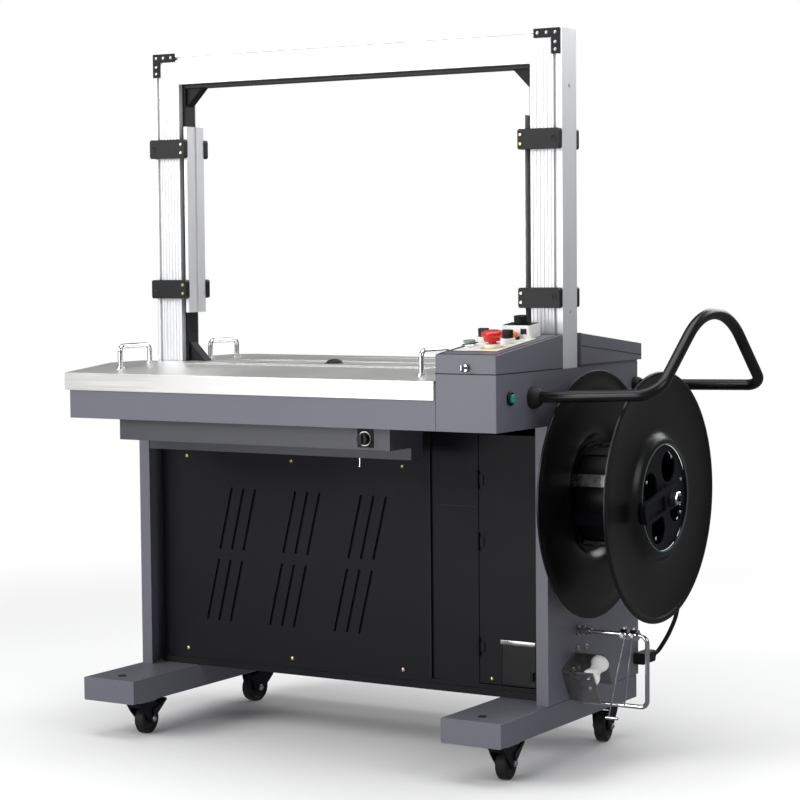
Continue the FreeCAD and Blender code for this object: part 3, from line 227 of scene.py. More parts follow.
def math_node(tree, operation, a, b=None, clamp=False):
    """Math node fed by sockets or numbers; returns its output."""
    node = tree.nodes.new("ShaderNodeMath")
    node.operation = operation
    node.use_clamp = clamp
    for i, value in enumerate((a, b)):
        if value is None:
            continue
        if isinstance(value, (int, float)):
            node.inputs[i].default_value = value
        else:
            tree.links.new(value, node.inputs[i])
    return node.outputs[0]


def ramp_node(tree, value, low, high, out_low, out_high):
    """Smooth remap of a value between two limits."""
    node = tree.nodes.new("ShaderNodeMapRange")
    node.interpolation_type = "SMOOTHSTEP"
    tree.links.new(value, node.inputs["Value"])
    for title, number in (("From Min", low), ("From Max", high), ("To Min", out_low), ("To Max", out_high)):
        node.inputs[title].default_value = number
    return node.outputs["Result"]


def noise_node(tree, vector, scale, detail=4.0, rough=0.55):
    """Noise texture; scale is a number or a socket."""
    node = tree.nodes.new("ShaderNodeTexNoise")
    node.inputs["Detail"].default_value = detail
    node.inputs["Roughness"].default_value = rough
    if isinstance(scale, (int, float)):
        node.inputs["Scale"].default_value = scale
    else:
        tree.links.new(scale, node.inputs["Scale"])
    tree.links.new(vector, node.inputs["Vector"])
    return node.outputs["Fac"]


def mix_colour(tree, factor, a, b):
    """Colour mix fed by sockets or RGBA tuples."""
    node = tree.nodes.new("ShaderNodeMix")
    node.data_type = "RGBA"
    for title, value in (("Factor", factor), ("A", a), ("B", b)):
        socket = [s for s in node.inputs if s.name == title and (title == "Factor" or s.type == "RGBA")][0]
        if isinstance(value, (int, float, tuple)):
            socket.default_value = value
        else:
            tree.links.new(value, socket)
    return [s for s in node.outputs if s.type == "RGBA"][0]


def make_tone_group():
    """Colour that drifts in broad patches and fine flecks, with dust on what faces up."""
    tree, source, sink = new_group("tone_drift", [
        ("Colour", "NodeSocketColor", (0.5, 0.5, 0.5, 1)), ("Patch Scale", "NodeSocketFloat", 6.0),
        ("Patch Amount", "NodeSocketFloat", 0.1), ("Fleck Amount", "NodeSocketFloat", 0.03),
        ("Dust", "NodeSocketFloat", 0.0), ("Dust Colour", "NodeSocketColor", (0.5, 0.48, 0.45, 1))],
        [("Colour", "NodeSocketColor"), ("Patch", "NodeSocketFloat")])
    place = tree.nodes.new("ShaderNodeTexCoord")
    patch = noise_node(tree, place.outputs["Object"], source.outputs["Patch Scale"], 5.0)
    fleck = noise_node(tree, place.outputs["Object"], 900.0, 2.0)
    drift = math_node(tree, "SUBTRACT", patch, 0.5)
    drift = math_node(tree, "MULTIPLY", drift, source.outputs["Patch Amount"])
    spots = math_node(tree, "SUBTRACT", fleck, 0.5)
    spots = math_node(tree, "MULTIPLY", spots, source.outputs["Fleck Amount"])
    total = math_node(tree, "MULTIPLY", math_node(tree, "ADD", drift, spots), 2.0)
    total = math_node(tree, "ADD", total, 1.0)
    scaled = tree.nodes.new("ShaderNodeVectorMath")
    scaled.operation = "SCALE"
    tree.links.new(source.outputs["Colour"], scaled.inputs[0])
    tree.links.new(total, scaled.inputs["Scale"])
    facing = tree.nodes.new("ShaderNodeSeparateXYZ")
    tree.links.new(place.outputs["Normal"], facing.inputs[0])
    upward = ramp_node(tree, facing.outputs["Z"], 0.55, 0.98, 0.0, 1.0)
    cloud = noise_node(tree, place.outputs["Object"], 14.0, 6.0, 0.7)
    settled = ramp_node(tree, cloud, 0.35, 0.75, 0.25, 1.0)
    dusty = math_node(tree, "MULTIPLY", upward, settled)
    dusty = math_node(tree, "MULTIPLY", dusty, source.outputs["Dust"], True)
    out = mix_colour(tree, dusty, scaled.outputs[0], source.outputs["Dust Colour"])
    tree.links.new(out, sink.inputs["Colour"])
    tree.links.new(patch, sink.inputs["Patch"])
    return tree


def make_edge_group():
    """Normal rounded over sharp edges, and a mask of the edges that get paint wear and a painted highlight.
    """
    tree, source, sink = new_group("soft_edges", [("Radius", "NodeSocketFloat", 0.0008)], [
        ("Normal", "NodeSocketVector"), ("Wear And Highlight", "NodeSocketFloat")])
    rounded = tree.nodes.new("ShaderNodeBevel")
    rounded.samples = 4
    tree.links.new(source.outputs["Radius"], rounded.inputs["Radius"])
    shape = tree.nodes.new("ShaderNodeNewGeometry")
    compare = tree.nodes.new("ShaderNodeVectorMath")
    compare.operation = "DOT_PRODUCT"
    tree.links.new(rounded.outputs[0], compare.inputs[0])
    tree.links.new(shape.outputs["Normal"], compare.inputs[1])
    place = tree.nodes.new("ShaderNodeTexCoord")
    broken = ramp_node(tree, noise_node(tree, place.outputs["Object"], 60.0, 5.0, 0.65), 0.35, 0.7, 0.2, 1.0)
    edge = ramp_node(tree, compare.outputs["Value"], 0.995, 0.9, 0.0, 1.0)
    tree.links.new(math_node(tree, "MULTIPLY", edge, broken), sink.inputs["Wear And Highlight"])
    tree.links.new(rounded.outputs[0], sink.inputs["Normal"])
    return tree


def make_grain_group():
    """Height of a fine pebbled coat over a slower orange peel."""
    tree, source, sink = new_group("coat_grain", [
        ("Fine Scale", "NodeSocketFloat", 1400.0), ("Peel Scale", "NodeSocketFloat", 220.0),
        ("Peel Share", "NodeSocketFloat", 0.5)], [("Height", "NodeSocketFloat")])
    place = tree.nodes.new("ShaderNodeTexCoord")
    fine = noise_node(tree, place.outputs["Object"], source.outputs["Fine Scale"], 2.0)
    peel = noise_node(tree, place.outputs["Object"], source.outputs["Peel Scale"], 1.0)
    share = math_node(tree, "MULTIPLY", peel, source.outputs["Peel Share"])
    tree.links.new(math_node(tree, "ADD", fine, share), sink.inputs["Height"])
    return tree


def make_brush_group():
    """Long hairlines along one axis, with a few deeper scratches and slow smears."""
    tree, source, sink = new_group("brushed_lines", [
        ("Stretch", "NodeSocketVector", (2.0, 400.0, 400.0)), ("Scratches", "NodeSocketFloat", 0.3)],
        [("Streak", "NodeSocketFloat"), ("Smear", "NodeSocketFloat"), ("Height", "NodeSocketFloat")])
    place = tree.nodes.new("ShaderNodeTexCoord")
    pull = tree.nodes.new("ShaderNodeVectorMath")
    pull.operation = "MULTIPLY"
    tree.links.new(place.outputs["Object"], pull.inputs[0])
    tree.links.new(source.outputs["Stretch"], pull.inputs[1])
    hair = noise_node(tree, pull.outputs[0], 1.0, 3.0, 0.7)
    deep = ramp_node(tree, noise_node(tree, pull.outputs[0], 0.22, 2.0), 0.62, 0.7, 0.0, 1.0)
    smear = noise_node(tree, place.outputs["Object"], 5.0, 4.0, 0.6)
    cut = math_node(tree, "MULTIPLY", deep, source.outputs["Scratches"])
    tree.links.new(math_node(tree, "SUBTRACT", hair, cut), sink.inputs["Height"])
    tree.links.new(hair, sink.inputs["Streak"])
    tree.links.new(smear, sink.inputs["Smear"])
    return tree


TONE = make_tone_group()
EDGES = make_edge_group()
GRAIN = make_grain_group()
BRUSH = make_brush_group()


def place_group(tree, group, values):
    """Group node with its plain inputs filled in."""
    node = tree.nodes.new("ShaderNodeGroup")
    node.node_tree = group
    for title, value in values.items():
        node.inputs[title].default_value = value
    return node


def rgba(colour):
    """Opaque colour with four channels."""
    return (colour[0], colour[1], colour[2], 1.0)


def new_material(name):
    """Material with its tree and its one shader."""
    material = bpy.data.materials.new(name)
    material.use_nodes = True
    return material, material.node_tree, material.node_tree.nodes["Principled BSDF"]


def bump_from(tree, bsdf, height, strength, distance, normal=None):
    """Bump that feeds the shader's normal."""
    bump = tree.nodes.new("ShaderNodeBump")
    bump.inputs["Strength"].default_value = strength
    bump.inputs["Distance"].default_value = distance
    tree.links.new(height, bump.inputs["Height"])
    if normal is not None:
        tree.links.new(normal, bump.inputs["Normal"])
    tree.links.new(bump.outputs["Normal"], bsdf.inputs["Normal"])


def coated(name, colour, roughness, patch=0.06, patch_scale=5.0, fleck=0.02, dust=0.0,
           grain=0.25, fine_scale=1400.0, peel_scale=220.0, wear_and_highlight=0.0, wear_and_highlight_colour=(0.4, 0.4, 0.42),
           edge=0.0008, specular=0.5, coat=0.0, drift=0.08):
    """Painted, moulded or cast surface."""
    material, tree, bsdf = new_material(name)
    tone = place_group(tree, TONE, {"Colour": rgba(colour), "Patch Scale": patch_scale, "Patch Amount": patch,
                                    "Fleck Amount": fleck, "Dust": dust})
    rounded = place_group(tree, EDGES, {"Radius": edge})
    skin = tone.outputs["Colour"]
    # Edges lightened by the mask: paint wear together with a painted highlight along them.
    if wear_and_highlight:
        edge_lightening = math_node(tree, "MULTIPLY", rounded.outputs["Wear And Highlight"], wear_and_highlight)
        skin = mix_colour(tree, edge_lightening, skin, rgba(wear_and_highlight_colour))
    tree.links.new(skin, bsdf.inputs["Base Color"])
    gloss = ramp_node(tree, tone.outputs["Patch"], 0.3, 0.7, roughness - drift / 2, roughness + drift / 2)
    tree.links.new(gloss, bsdf.inputs["Roughness"])
    bsdf.inputs["Specular IOR Level"].default_value = specular
    bsdf.inputs["Coat Weight"].default_value = coat
    height = place_group(tree, GRAIN, {"Fine Scale": fine_scale, "Peel Scale": peel_scale}).outputs["Height"]
    bump_from(tree, bsdf, height, grain, 0.0002, rounded.outputs["Normal"])
    return material


def brushed(name, colour, roughness, stretch, contrast=0.12, scratches=0.3, depth=0.12, metallic=1.0,
            spread=0.14, edge=0.0006, smear=0.06):
    """Brushed or drawn metal with its lines along the axis that is stretched least."""
    material, tree, bsdf = new_material(name)
    lines = place_group(tree, BRUSH, {"Stretch": stretch, "Scratches": scratches})
    dark = rgba([c * (1 - contrast) for c in colour])
    light = rgba([min(1.0, c * (1 + contrast)) for c in colour])
    streak = ramp_node(tree, lines.outputs["Streak"], 0.3, 0.7, 0.0, 1.0)
    toned = mix_colour(tree, streak, dark, light)
    cloud = ramp_node(tree, lines.outputs["Smear"], 0.3, 0.7, 0.0, smear * 4)
    toned = mix_colour(tree, cloud, toned, dark)
    tree.links.new(toned, bsdf.inputs["Base Color"])
    rough = math_node(tree, "ADD", ramp_node(tree, lines.outputs["Streak"], 0.3, 0.7, roughness - spread / 2,
                                             roughness + spread / 2), math_node(tree, "MULTIPLY", cloud, 0.3))
    tree.links.new(rough, bsdf.inputs["Roughness"])
    bsdf.inputs["Metallic"].default_value = metallic
    rounded = place_group(tree, EDGES, {"Radius": edge})
    bump_from(tree, bsdf, lines.outputs["Height"], depth, 0.0001, rounded.outputs["Normal"])
    return material


# ---------------------------------------------------------------- finishes
BLUE_GREY = coated("blue_grey_enamel", (0.112, 0.112, 0.139), 0.42, patch=0.035, fleck=0.02, dust=0.05,
                   grain=0.22, wear_and_highlight=0.35, wear_and_highlight_colour=(0.30, 0.30, 0.33), edge=0.001)
# The lower beam's enamel is the blue-grey darkened to under half: painted shade from the table apron above
# it.
SHADED_BEAM_GREY = coated("beam_enamel_painted_shade", (0.052, 0.053, 0.064), 0.42, patch=0.035, fleck=0.02, grain=0.22, wear_and_highlight=0.2,
                   wear_and_highlight_colour=(0.12, 0.12, 0.13))
BLACK_PANEL = coated("black_powder_coat", (0.0040, 0.0042, 0.0070), 0.5, patch=0.12, fleck=0.1, grain=0.5,
                     fine_scale=1100.0, wear_and_highlight=0.12, wear_and_highlight_colour=(0.03, 0.03, 0.035), specular=0.22)
BLACK_TUBE = coated("black_gloss_tube", (0.004, 0.004, 0.0048), 0.3, patch=0.1, grain=0.1, wear_and_highlight=0.05,
                    wear_and_highlight_colour=(0.03, 0.03, 0.03), specular=0.4)
REEL_BLACK = coated("reel_black", (0.0030, 0.0030, 0.0034), 0.33, patch=0.2, patch_scale=3.0, grain=0.2,
                    peel_scale=160.0, wear_and_highlight=0.15, wear_and_highlight_colour=(0.05, 0.05, 0.05), specular=0.4)
BLACK_PLASTIC = coated("black_moulding", (0.006, 0.006, 0.0066), 0.42, patch=0.1, grain=0.5,
                       fine_scale=900.0, wear_and_highlight=0.12, wear_and_highlight_colour=(0.05, 0.05, 0.05), specular=0.3)
BLACK_RUBBER = coated("black_rubber", (0.008, 0.008, 0.008), 0.6, patch=0.15, grain=0.35, dust=0.03,
                      specular=0.4)
WHITE_PLASTIC = coated("white_moulding", (0.80, 0.80, 0.78), 0.35, patch=0.03, grain=0.15, fleck=0.01)
RED_PLASTIC = coated("red_moulding", (0.62, 0.018, 0.016), 0.28, patch=0.06, grain=0.08, coat=0.3)
GREEN_PLASTIC = coated("green_moulding", (0.02, 0.26, 0.16), 0.3, patch=0.06, grain=0.08, coat=0.3)
GREY_GREEN = coated("grey_green_cap", (0.20, 0.26, 0.22), 0.35, patch=0.06, grain=0.1)
ORANGE_LENS = coated("orange_lens", (0.75, 0.16, 0.02), 0.2, patch=0.05, grain=0.05, coat=0.5)
YELLOW_PRINT = coated("yellow_print", (0.70, 0.55, 0.16), 0.4, patch=0.05, grain=0.05)
PALE_PRINT = coated("pale_print", (0.72, 0.71, 0.66), 0.38, patch=0.05, patch_scale=20.0, grain=0.05)
MOTOR_GREEN = coated("motor_enamel", (0.05, 0.09, 0.08), 0.5, patch=0.15, grain=0.6, fine_scale=500.0)
TABLE_STEEL = brushed("table_stainless", (0.76, 0.755, 0.74), 0.34, (3.0, 700.0, 700.0), contrast=0.06,
                      scratches=0.25, depth=0.10, metallic=0.8)
BRACKET_STEEL = brushed("bracket_stainless", (0.40, 0.40, 0.39), 0.3, (60.0, 60.0, 60.0), contrast=0.03,
                        scratches=0.05, depth=0.02, smear=0.02)
MACHINED = brushed("machined_steel", (0.55, 0.55, 0.54), 0.3, (30.0, 400.0, 400.0), contrast=0.1)
ANODISED = brushed("satin_anodised", (0.74, 0.745, 0.76), 0.42, (300.0, 300.0, 4.0), contrast=0.025,
                   scratches=0.1, depth=0.05, metallic=0.55, smear=0.02)
ANODISED_BEAM = brushed("satin_anodised_beam", (0.74, 0.745, 0.76), 0.42, (4.0, 300.0, 300.0),
                        contrast=0.025, scratches=0.1, depth=0.05, metallic=0.55, smear=0.02)
CHROME = brushed("bright_chrome", (0.78, 0.78, 0.79), 0.1, (40.0, 40.0, 40.0), contrast=0.03, scratches=0.1,
                 depth=0.02, spread=0.05)
ZINC = brushed("zinc_plate", (0.62, 0.62, 0.60), 0.3, (90.0, 90.0, 90.0), contrast=0.12, depth=0.1)
BRASS = brushed("yellow_zinc", (0.72, 0.60, 0.34), 0.28, (90.0, 90.0, 90.0), contrast=0.12, depth=0.1)

FINISHES = {
    BLUE_GREY: ("foot_left", "foot_right", "side_frame_left", "side_frame_right", "table_frame",
                "control_box", "control_lid", "rear_cover"),
    SHADED_BEAM_GREY: ("lower_beam",),
    BLACK_PANEL: ("front_panels", "rear_panel", "service_door", "caster_yoke_front_right",
                  "caster_yoke_front_left", "caster_yoke_rear_right", "caster_yoke_rear_left", "rod_pivot",
                  "base_tray", "arch_brackets", "reel_core", "reel_crank"),
    BLACK_TUBE: ("guard_loop",),
    REEL_BLACK: ("reel_inner_flange", "reel_outer_flange"),
    BLACK_PLASTIC: ("clamp_blocks", "beam_dial", "selector_left", "selector_right", "speed_knob",
                    "brake_pedal_left", "brake_pedal_right", "strap_guides"),
    BLACK_RUBBER: ("feed_roller", "reel_lead", "caster_wheel_front_right", "caster_wheel_front_left",
                   "caster_wheel_rear_right", "caster_wheel_rear_left"),
    TABLE_STEEL: ("table_plate_front", "table_plate_rear"),
    BRACKET_STEEL: ("roller_bracket",),
    CHROME: ("handles_front", "handles_rear", "tension_rod", "lid_key"),
    ZINC: ("reel_bars",),
    MACHINED: ("reel_shaft", "camshaft", "head_block"),
    ANODISED: ("arch_left_leg", "arch_right_leg", "arch_side_plate", "strap_gates"),
    ANODISED_BEAM: ("arch_top_beam",),
    WHITE_PLASTIC: ("guide_roller", "speed_box"),
    RED_PLASTIC: ("stop_button",),
    GREEN_PLASTIC: ("side_button",),
    GREY_GREEN: ("start_button",),
    MOTOR_GREEN: ("drive_motor",),
}
for material, nodes in FINISHES.items():
    for node in nodes:
        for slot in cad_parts[node].material_slots:
            slot.material = material


# ---------------------------------------------------------------- control lid
def lid_spot(x, y):
    """Start and end of a line standing on the lid."""
    return on_lid(x, y, 0), on_lid(x, y, 1)


def lid_ring(name, x, y, profile, material):
    """Turned collar around a control."""
    bm = bmesh.new()
    add_ring(bm, profile, *lid_spot(x, y), 48)
    finish_piece(name, bm, "lid", material)


def build_lid_details():
    """Label, rims, collars, lamp, buttons, selectors and the small parts of the speed box."""
    c = math.cos(LID_TILT)
    stems = [(x, y / c, radius) for (x, y), radius in (
        (START, 7.4), (SELECTORS[0][1:], 6.4), (SELECTORS[1][1:], 6.4), (STOP, 8.4))]
    bm = bmesh.new()
    add_sheet(bm, (-120, 41), (-20, 206), stems, 0.1, 0.4, lid_frame())
    finish_piece("label_border", bm, "lid", BLACK_PLASTIC)
    bm = bmesh.new()
    add_sheet(bm, (-117.5, 43.5), (-22.5, 203.5), stems, 0.5, 0.35, lid_frame())
    finish_piece("label_plate", bm, "lid", PALE_PRINT)
    bm = bmesh.new()
    for x0, x1, y0, y1 in ((-128.5, -2.5, 3.0, 5.4), (-128.5, -2.5, 258.5, 261), (-128.5, -126, 3.0, 261),
                           (-5.0, -2.5, 3.0, 261)):
        add_lid_block(bm, x0, x1, y0, y1, 0.05, 0.7, 0.2, 1)
    finish_piece("lid_rim_line", bm, "lid", BLACK_PLASTIC)
    bm = bmesh.new()
    add_block(bm, (-131.3, -0.35, 779.9), (0.3, 0.8, 781.9), 0.15, 1)
    add_block(bm, (-0.8, -0.35, 779.9), (0.35, 265, 781.9), 0.15, 1)
    finish_piece("lid_gasket", bm, "frame", BLACK_RUBBER)

    lid_ring("start_collar", *START, [(0.9, 7.4), (0.9, 15), (3.6, 15), (4.9, 13.4), (4.9, 7.4)], CHROME)
    lid_ring("stop_collar", *STOP, [(1.4, 8.4), (1.4, 15), (2.2, 15.6), (7.8, 15.2), (8.6, 14.4), (8.6, 8.4)],
             WHITE_PLASTIC)
    lid_ring("stop_disc", *STOP, [(0.9, 8.4), (0.9, 23.5), (1.3, 23.5), (1.4, 23), (1.4, 8.4)], YELLOW_PRINT)
    for side, x, y in SELECTORS:
        lid_ring("selector_collar_" + side, x, y,
                 [(0.9, 6.4), (0.9, 13.4), (1.6, 14), (10.2, 14), (11, 13.2), (11, 6.4)], WHITE_PLASTIC)
    lid_ring("lamp_base", *LAMP, [(0.5, 10.5), (5, 10.5), (6, 9.5), (6, 0)], BLACK_PLASTIC)
    bm = bmesh.new()
    dome = [(5.5, 0), (5.5, 7.0), (11, 6.8)]
    dome += [(11 + 6 * math.sin(a), 6.8 * math.cos(a)) for a in map(math.radians, (20, 40, 60, 75))]
    add_turned(bm, dome + [(17.2, 0)], *lid_spot(*LAMP), 36)
    finish_piece("signal_lamp", bm, "lid", ORANGE_LENS)

    bm = bmesh.new()
    cap = [(-8, 0), (-8, 7.9), (13.7, 7.9), (13.9, 15.6), (20.5, 16.4), (23.6, 19.2), (25.4, 20.4),
           (28, 20.7), (30.4, 20.2), (32.4, 18.2), (33.8, 13), (34.4, 0)]
    add_turned(bm, cap, *lid_spot(*STOP), 64)
    finish_piece("stop_mushroom", bm, "stop_button", RED_PLASTIC,
                 replaces=("stop_button",))
    for side, x, y in SELECTORS:
        bm = bmesh.new()
        add_turned(bm, [(-8, 0), (-8, 5.9), (11.4, 5.9), (11.4, 10.6), (12, 11), (14, 10.8), (14, 0)],
                   *lid_spot(x, y), 40)
        add_lid_block(bm, x - 10.5, x + 10.5, y - 4.5, y + 4.5, 12.5, 27, 1.4, 3)
        finish_piece("selector_knob_" + side, bm, "selector_" + side, BLACK_PLASTIC,
                     replaces=("selector_" + side,))

    bm = bmesh.new()
    spindle = (SPEED[0], SPEED[1] / c, 4.4)
    add_sheet(bm, (-94.2, 198.4 / c), (-34.8, 237.6 / c), [spindle], 26.05, 0.7, lid_frame())
    finish_piece("speed_box_top", bm, "lid", BLACK_PLASTIC)
    bm = bmesh.new()
    add_lid_block(bm, -54, -41, 195.55, 196.3, 9, 20, 0.2, 1)
    finish_piece("speed_box_label", bm, "lid", BLACK_PLASTIC)

    bm = bmesh.new()
    ring = [(0, 6.5), (0, 7.6), (1.0, 7.6), (1.6, 7.2), (1.6, 6.5)]
    add_ring(bm, ring, (-64, 0, 792.5), (-64, -1, 792.5))
    finish_piece("lock_escutcheon", bm, "lid", BLACK_PLASTIC)


def build_box_details():
    """Side button's base, tube boots, roof seam, foot plugs and the panels' small parts."""
    bm = bmesh.new()
    ring = [(0, 8.5), (0, 13.4), (3.6, 13.4), (5, 12.2), (5, 8.5)]
    add_ring(bm, ring, (0, SIDE_BUTTON_Y, SIDE_BUTTON_Z), (1, SIDE_BUTTON_Y, SIDE_BUTTON_Z))
    finish_piece("side_button_base", bm, "frame", BLACK_PLASTIC)

    bm = bmesh.new()
    boot = [(0.2, 11.1), (0.2, 20.8), (1.2, 21.4), (9, 20.6), (13, 18.6), (19, 14.4), (21.5, 12.2),
            (21.5, 11.1)]
    add_ring(bm, boot, (0, 139, 731), (1, 139, 731.04), 56)
    boot = [(0.2, 11.1), (0.2, 16.2), (8, 15.8), (13, 13.6), (15, 12), (15, 11.1)]
    add_ring(bm, boot, (0, 588, 733), (1, 588, 733.02), 48)
    finish_piece("guard_boots", bm, "frame", BLACK_RUBBER)

    bm = bmesh.new()
    add_rod(bm, 0.9, (5.1, 338, 823), (5.1, 609, 794), 0.3, 8)
    add_rod(bm, 0.9, (-130, 337, 823), (-130, 338.5, 823), 0.3, 8)
    finish_piece("roof_seam", bm, "frame", BLACK_RUBBER)

    bm = bmesh.new()
    for x in (-65.5, -934.5):
        plug = [(0, 0), (0, 9), (0.8, 9), (1.6, 8), (1.6, 0)]
        add_turned(bm, plug, (x, 55, 126.5), (x, 55, 127.5), 32)
    finish_piece("foot_plugs", bm, "frame", BLACK_RUBBER)

    y = PANEL_Y
    bm = bmesh.new()
    for x, z in ((-899, 577), (-628, 577), (-356, 577), (-902, 160), (-630, 160), (-357, 160)):
        add_dome_screw(bm, (x, y, z), (x, y - 1, z), 4.6, 2.6)
    finish_piece("panel_screws", bm, "frame", BRASS)
    bm = bmesh.new()
    add_dome_screw(bm, (-150, y, 160), (-150, y - 1, 160), 4.2, 2.4)
    finish_piece("door_screw", bm, "service_door", BRASS)

    bm = bmesh.new()
    add_block(bm, (-268, y - 0.7, 501.5), (-181, y + 0.3, 504.5), 0.2, 1)
    add_block(bm, (-292.2, y - 0.4, 149), (-290, y + 0.3, 648), 0.2, 1)
    finish_piece("panel_seams", bm, "frame", BLACK_RUBBER)
    bm = bmesh.new()
    add_block(bm, (-130, y - 1.4, 232), (-52, y + 0.3, 240.5), 0.5)
    finish_piece("compartment_strip", bm, "service_door", ZINC)
    bm = bmesh.new()
    add_block(bm, (-130, y - 0.8, 152), (-127.5, y + 0.3, 231.5), 0.3, 1)
    add_block(bm, (-126, y - 0.35, 152), (-52, y + 0.3, 231), 0.3, 1)
    finish_piece("compartment", bm, "service_door", REEL_BLACK)

    # Black sheet behind the front panels: painted shade of the cabinet's inside.
    bm = bmesh.new()
    add_block(bm, (-962, y + 5.5, 150), (-297, y + 7, 648))
    finish_piece("cabinet_shade_sheet", bm, "frame", BLACK_RUBBER)

    bm = bmesh.new()
    add_sheet(bm, (-318, 634), (-281.5, 670), [(DIAL_X, DIAL_Z, 4.5)], 0.05, 1.0, wall_frame(BEAM_Y))
    finish_piece("dial_plate", bm, "frame", BLACK_PANEL)
    bm = bmesh.new()
    ring = [(1.05, 12.4), (1.05, 14.6), (2.2, 14.6), (2.6, 14), (2.6, 12.4)]
    add_ring(bm, ring, (DIAL_X, BEAM_Y, DIAL_Z), (DIAL_X, BEAM_Y - 1, DIAL_Z), 48)
    finish_piece("dial_ring", bm, "frame", ZINC)
    bm = bmesh.new()
    pin = [(0, 0), (0, 1.9), (17, 1.9), (17.4, 3.4), (19.4, 3.4), (20, 2.6), (20, 0)]
    add_turned(bm, pin, (-377, 120, 605), (-377, 120, 604), 24)
    finish_piece("beam_pin", bm, "frame", CHROME)


# ---------------------------------------------------------------- arch fastenings
def build_arch_details():
    """Screws of the clamp blocks and corner brackets, and the end sockets of the blocks."""
    screws, sockets = bmesh.new(), bmesh.new()
    for x, far, heights in ((-911, -984, (1236, 935)), (-85, -12, (1227, 918))):
        for z in heights:
            for wall, step in ((CLAMP_FRONT_Y, -1), (CLAMP_REAR_Y, 1)):
                for dz in (-9, 9):
                    add_hex_nut(screws, (x, wall, z + dz), (x, wall + step, z + dz), 6.0, 2.4)
                hole = [(0.1, 0), (0.1, 3.4), (0.9, 5.4), (0.2, 5.9), (-0.3, 5.9)]
                add_turned(sockets, hole, (far, wall, z), (far, wall + step, z), 28)
    finish_piece("block_screws", screws, "frame", BRASS)
    finish_piece("block_sockets", sockets, "frame", BLACK_RUBBER)
    bm = bmesh.new()
    for wall, step in ((ARCH_FRONT_Y, -1), (ARCH_REAR_Y, 1)):
        for x, z in ((-982, 1431), (-963, 1431), (-943, 1431), (-982, 1412), (-982, 1398)):
            for mirrored in (x, -ARCH_WIDTH - x):
                add_dome_screw(bm, (mirrored, wall, z), (mirrored, wall + step, z), 3.6, 2.0)
    finish_piece("bracket_screws", bm, "frame", ZINC)


def build_table_details():
    """Low ribs along the table plates, and a black dome of painted shade at the strap slot."""
    for name, rows in (("front", (175, 205, 235)), ("rear", (365, 400, 560))):
        bm = bmesh.new()
        for y in rows:
            add_block(bm, (-838, y - 6, TABLE_Z - 0.75), (-252, y + 6, TABLE_Z + 0.9), 0.5, 1)
        finish_piece("table_ribs_" + name, bm, "table_" + name, MACHINED)
    # Black dome standing in for the shade down in the strap slot.
    bm = bmesh.new()
    dome = [(-12, 0), (-12, 17.5), (1, 17.5), (4, 16), (6.5, 12.5), (8.4, 7), (9, 0)]
    add_turned(bm, dome, (-556, 304, TABLE_Z), (-556, 304, TABLE_Z + 1), 56)
    finish_piece("mouth_shade_dome", bm, "frame", BLACK_RUBBER)


# ---------------------------------------------------------------- reel
def rounded_loop(points, rounds=2):
    """Closed outline with its corners cut again and again until they read as curves."""
    for _ in range(rounds):
        cut = []
        for (a, b), (c, d) in zip(points, points[1:] + points[:1]):
            cut += [(0.75 * a + 0.25 * c, 0.75 * b + 0.25 * d), (0.25 * a + 0.75 * c, 0.25 * b + 0.75 * d)]
        points = cut
    return points


def reel_axis(x, step=1):
    """Start and direction of a line on the reel's axis."""
    return (x, REEL_Y, REEL_Z), (x + step, REEL_Y, REEL_Z)


def build_reel_details():
    """Smooth flanges in place of the plain ones, and the hub's small parts."""
    r, hub, opening = 243.0, 116.0, 102.5
    outline = [(-3.2, r), (-0.5, r + 0.6), (2.2, r), (3.2, r - 4), (2.6, r - 9), (0, r - 12), (-6, r - 40),
               (-8, hub + 26), (-4, hub + 8), (6, hub), (9.4, opening + 7), (9.8, opening + 1),
               (8.2, opening - 0.2), (6.4, opening), (6.5, opening + 5), (3.5, hub - 2), (-6.5, hub + 8),
               (-10.5, hub + 26),
               (-8.5, r - 40), (-2.5, r - 14)]
    for name, x, s in (("inner", 48, -1), ("outer", 187, 1)):
        bm = bmesh.new()
        add_ring(bm, rounded_loop(outline), *reel_axis(x, s), 144)
        finish_piece("reel_disc_" + name, bm, "reel", REEL_BLACK,
                     replaces=("reel_%s_flange" % name,), sharp=50)
    bm = bmesh.new()
    for turn in map(math.radians, (20, 65, 155, 200, 245, 335)):
        y, z = REEL_Y + 84 * math.cos(turn), REEL_Z + 84 * math.sin(turn)
        add_dome_screw(bm, (193, y, z), (194, y, z), 3.6, 2.4)
    finish_piece("hub_screws", bm, "reel", ZINC)
    # Black disc and drum inside the core: painted shade filling the gaps between the core plates.
    bm = bmesh.new()
    ring = [(0, 27), (0, 101), (1.5, 101), (1.5, 27)]
    add_ring(bm, ring, *reel_axis(45.5), 72)
    drum = [(51, 93), (51, 95), (184, 95), (184, 93)]
    add_ring(bm, drum, *reel_axis(0), 72)
    finish_piece("hub_shade_drum", bm, "reel", REEL_BLACK)
    bm = bmesh.new()
    rim = [(196.4, 102.6), (196.4, 104.4), (197.2, 105), (198, 104.6), (198, 102.6)]
    add_ring(bm, rim, *reel_axis(0), 96)
    finish_piece("hub_lip", bm, "reel", MOTOR_GREEN)
    bm = bmesh.new()
    add_hex_nut(bm, *reel_axis(213.5), 25, 13.4)
    finish_piece("crank_nut", bm, "reel", CHROME)


# ---------------------------------------------------------------- casters and side gear
def build_caster_details():
    """Axle nuts on both sides of every fork."""
    for name, x, y, angle in CASTERS:
        c, s = math.cos(math.radians(angle)), math.sin(math.radians(angle))
        bm = bmesh.new()
        for side in (-1, 1):
            reach = side * 17.2
            spot = (x + CASTER_TRAIL * c - reach * s, y + CASTER_TRAIL * s + reach * c, WHEEL_Z)
            toward = (spot[0] - side * s, spot[1] + side * c, WHEEL_Z)
            add_hex_nut(bm, spot, toward, 12, 4.0, 2.0)
        finish_piece("axle_nuts_" + name, bm, "caster_yoke_" + name, ZINC)


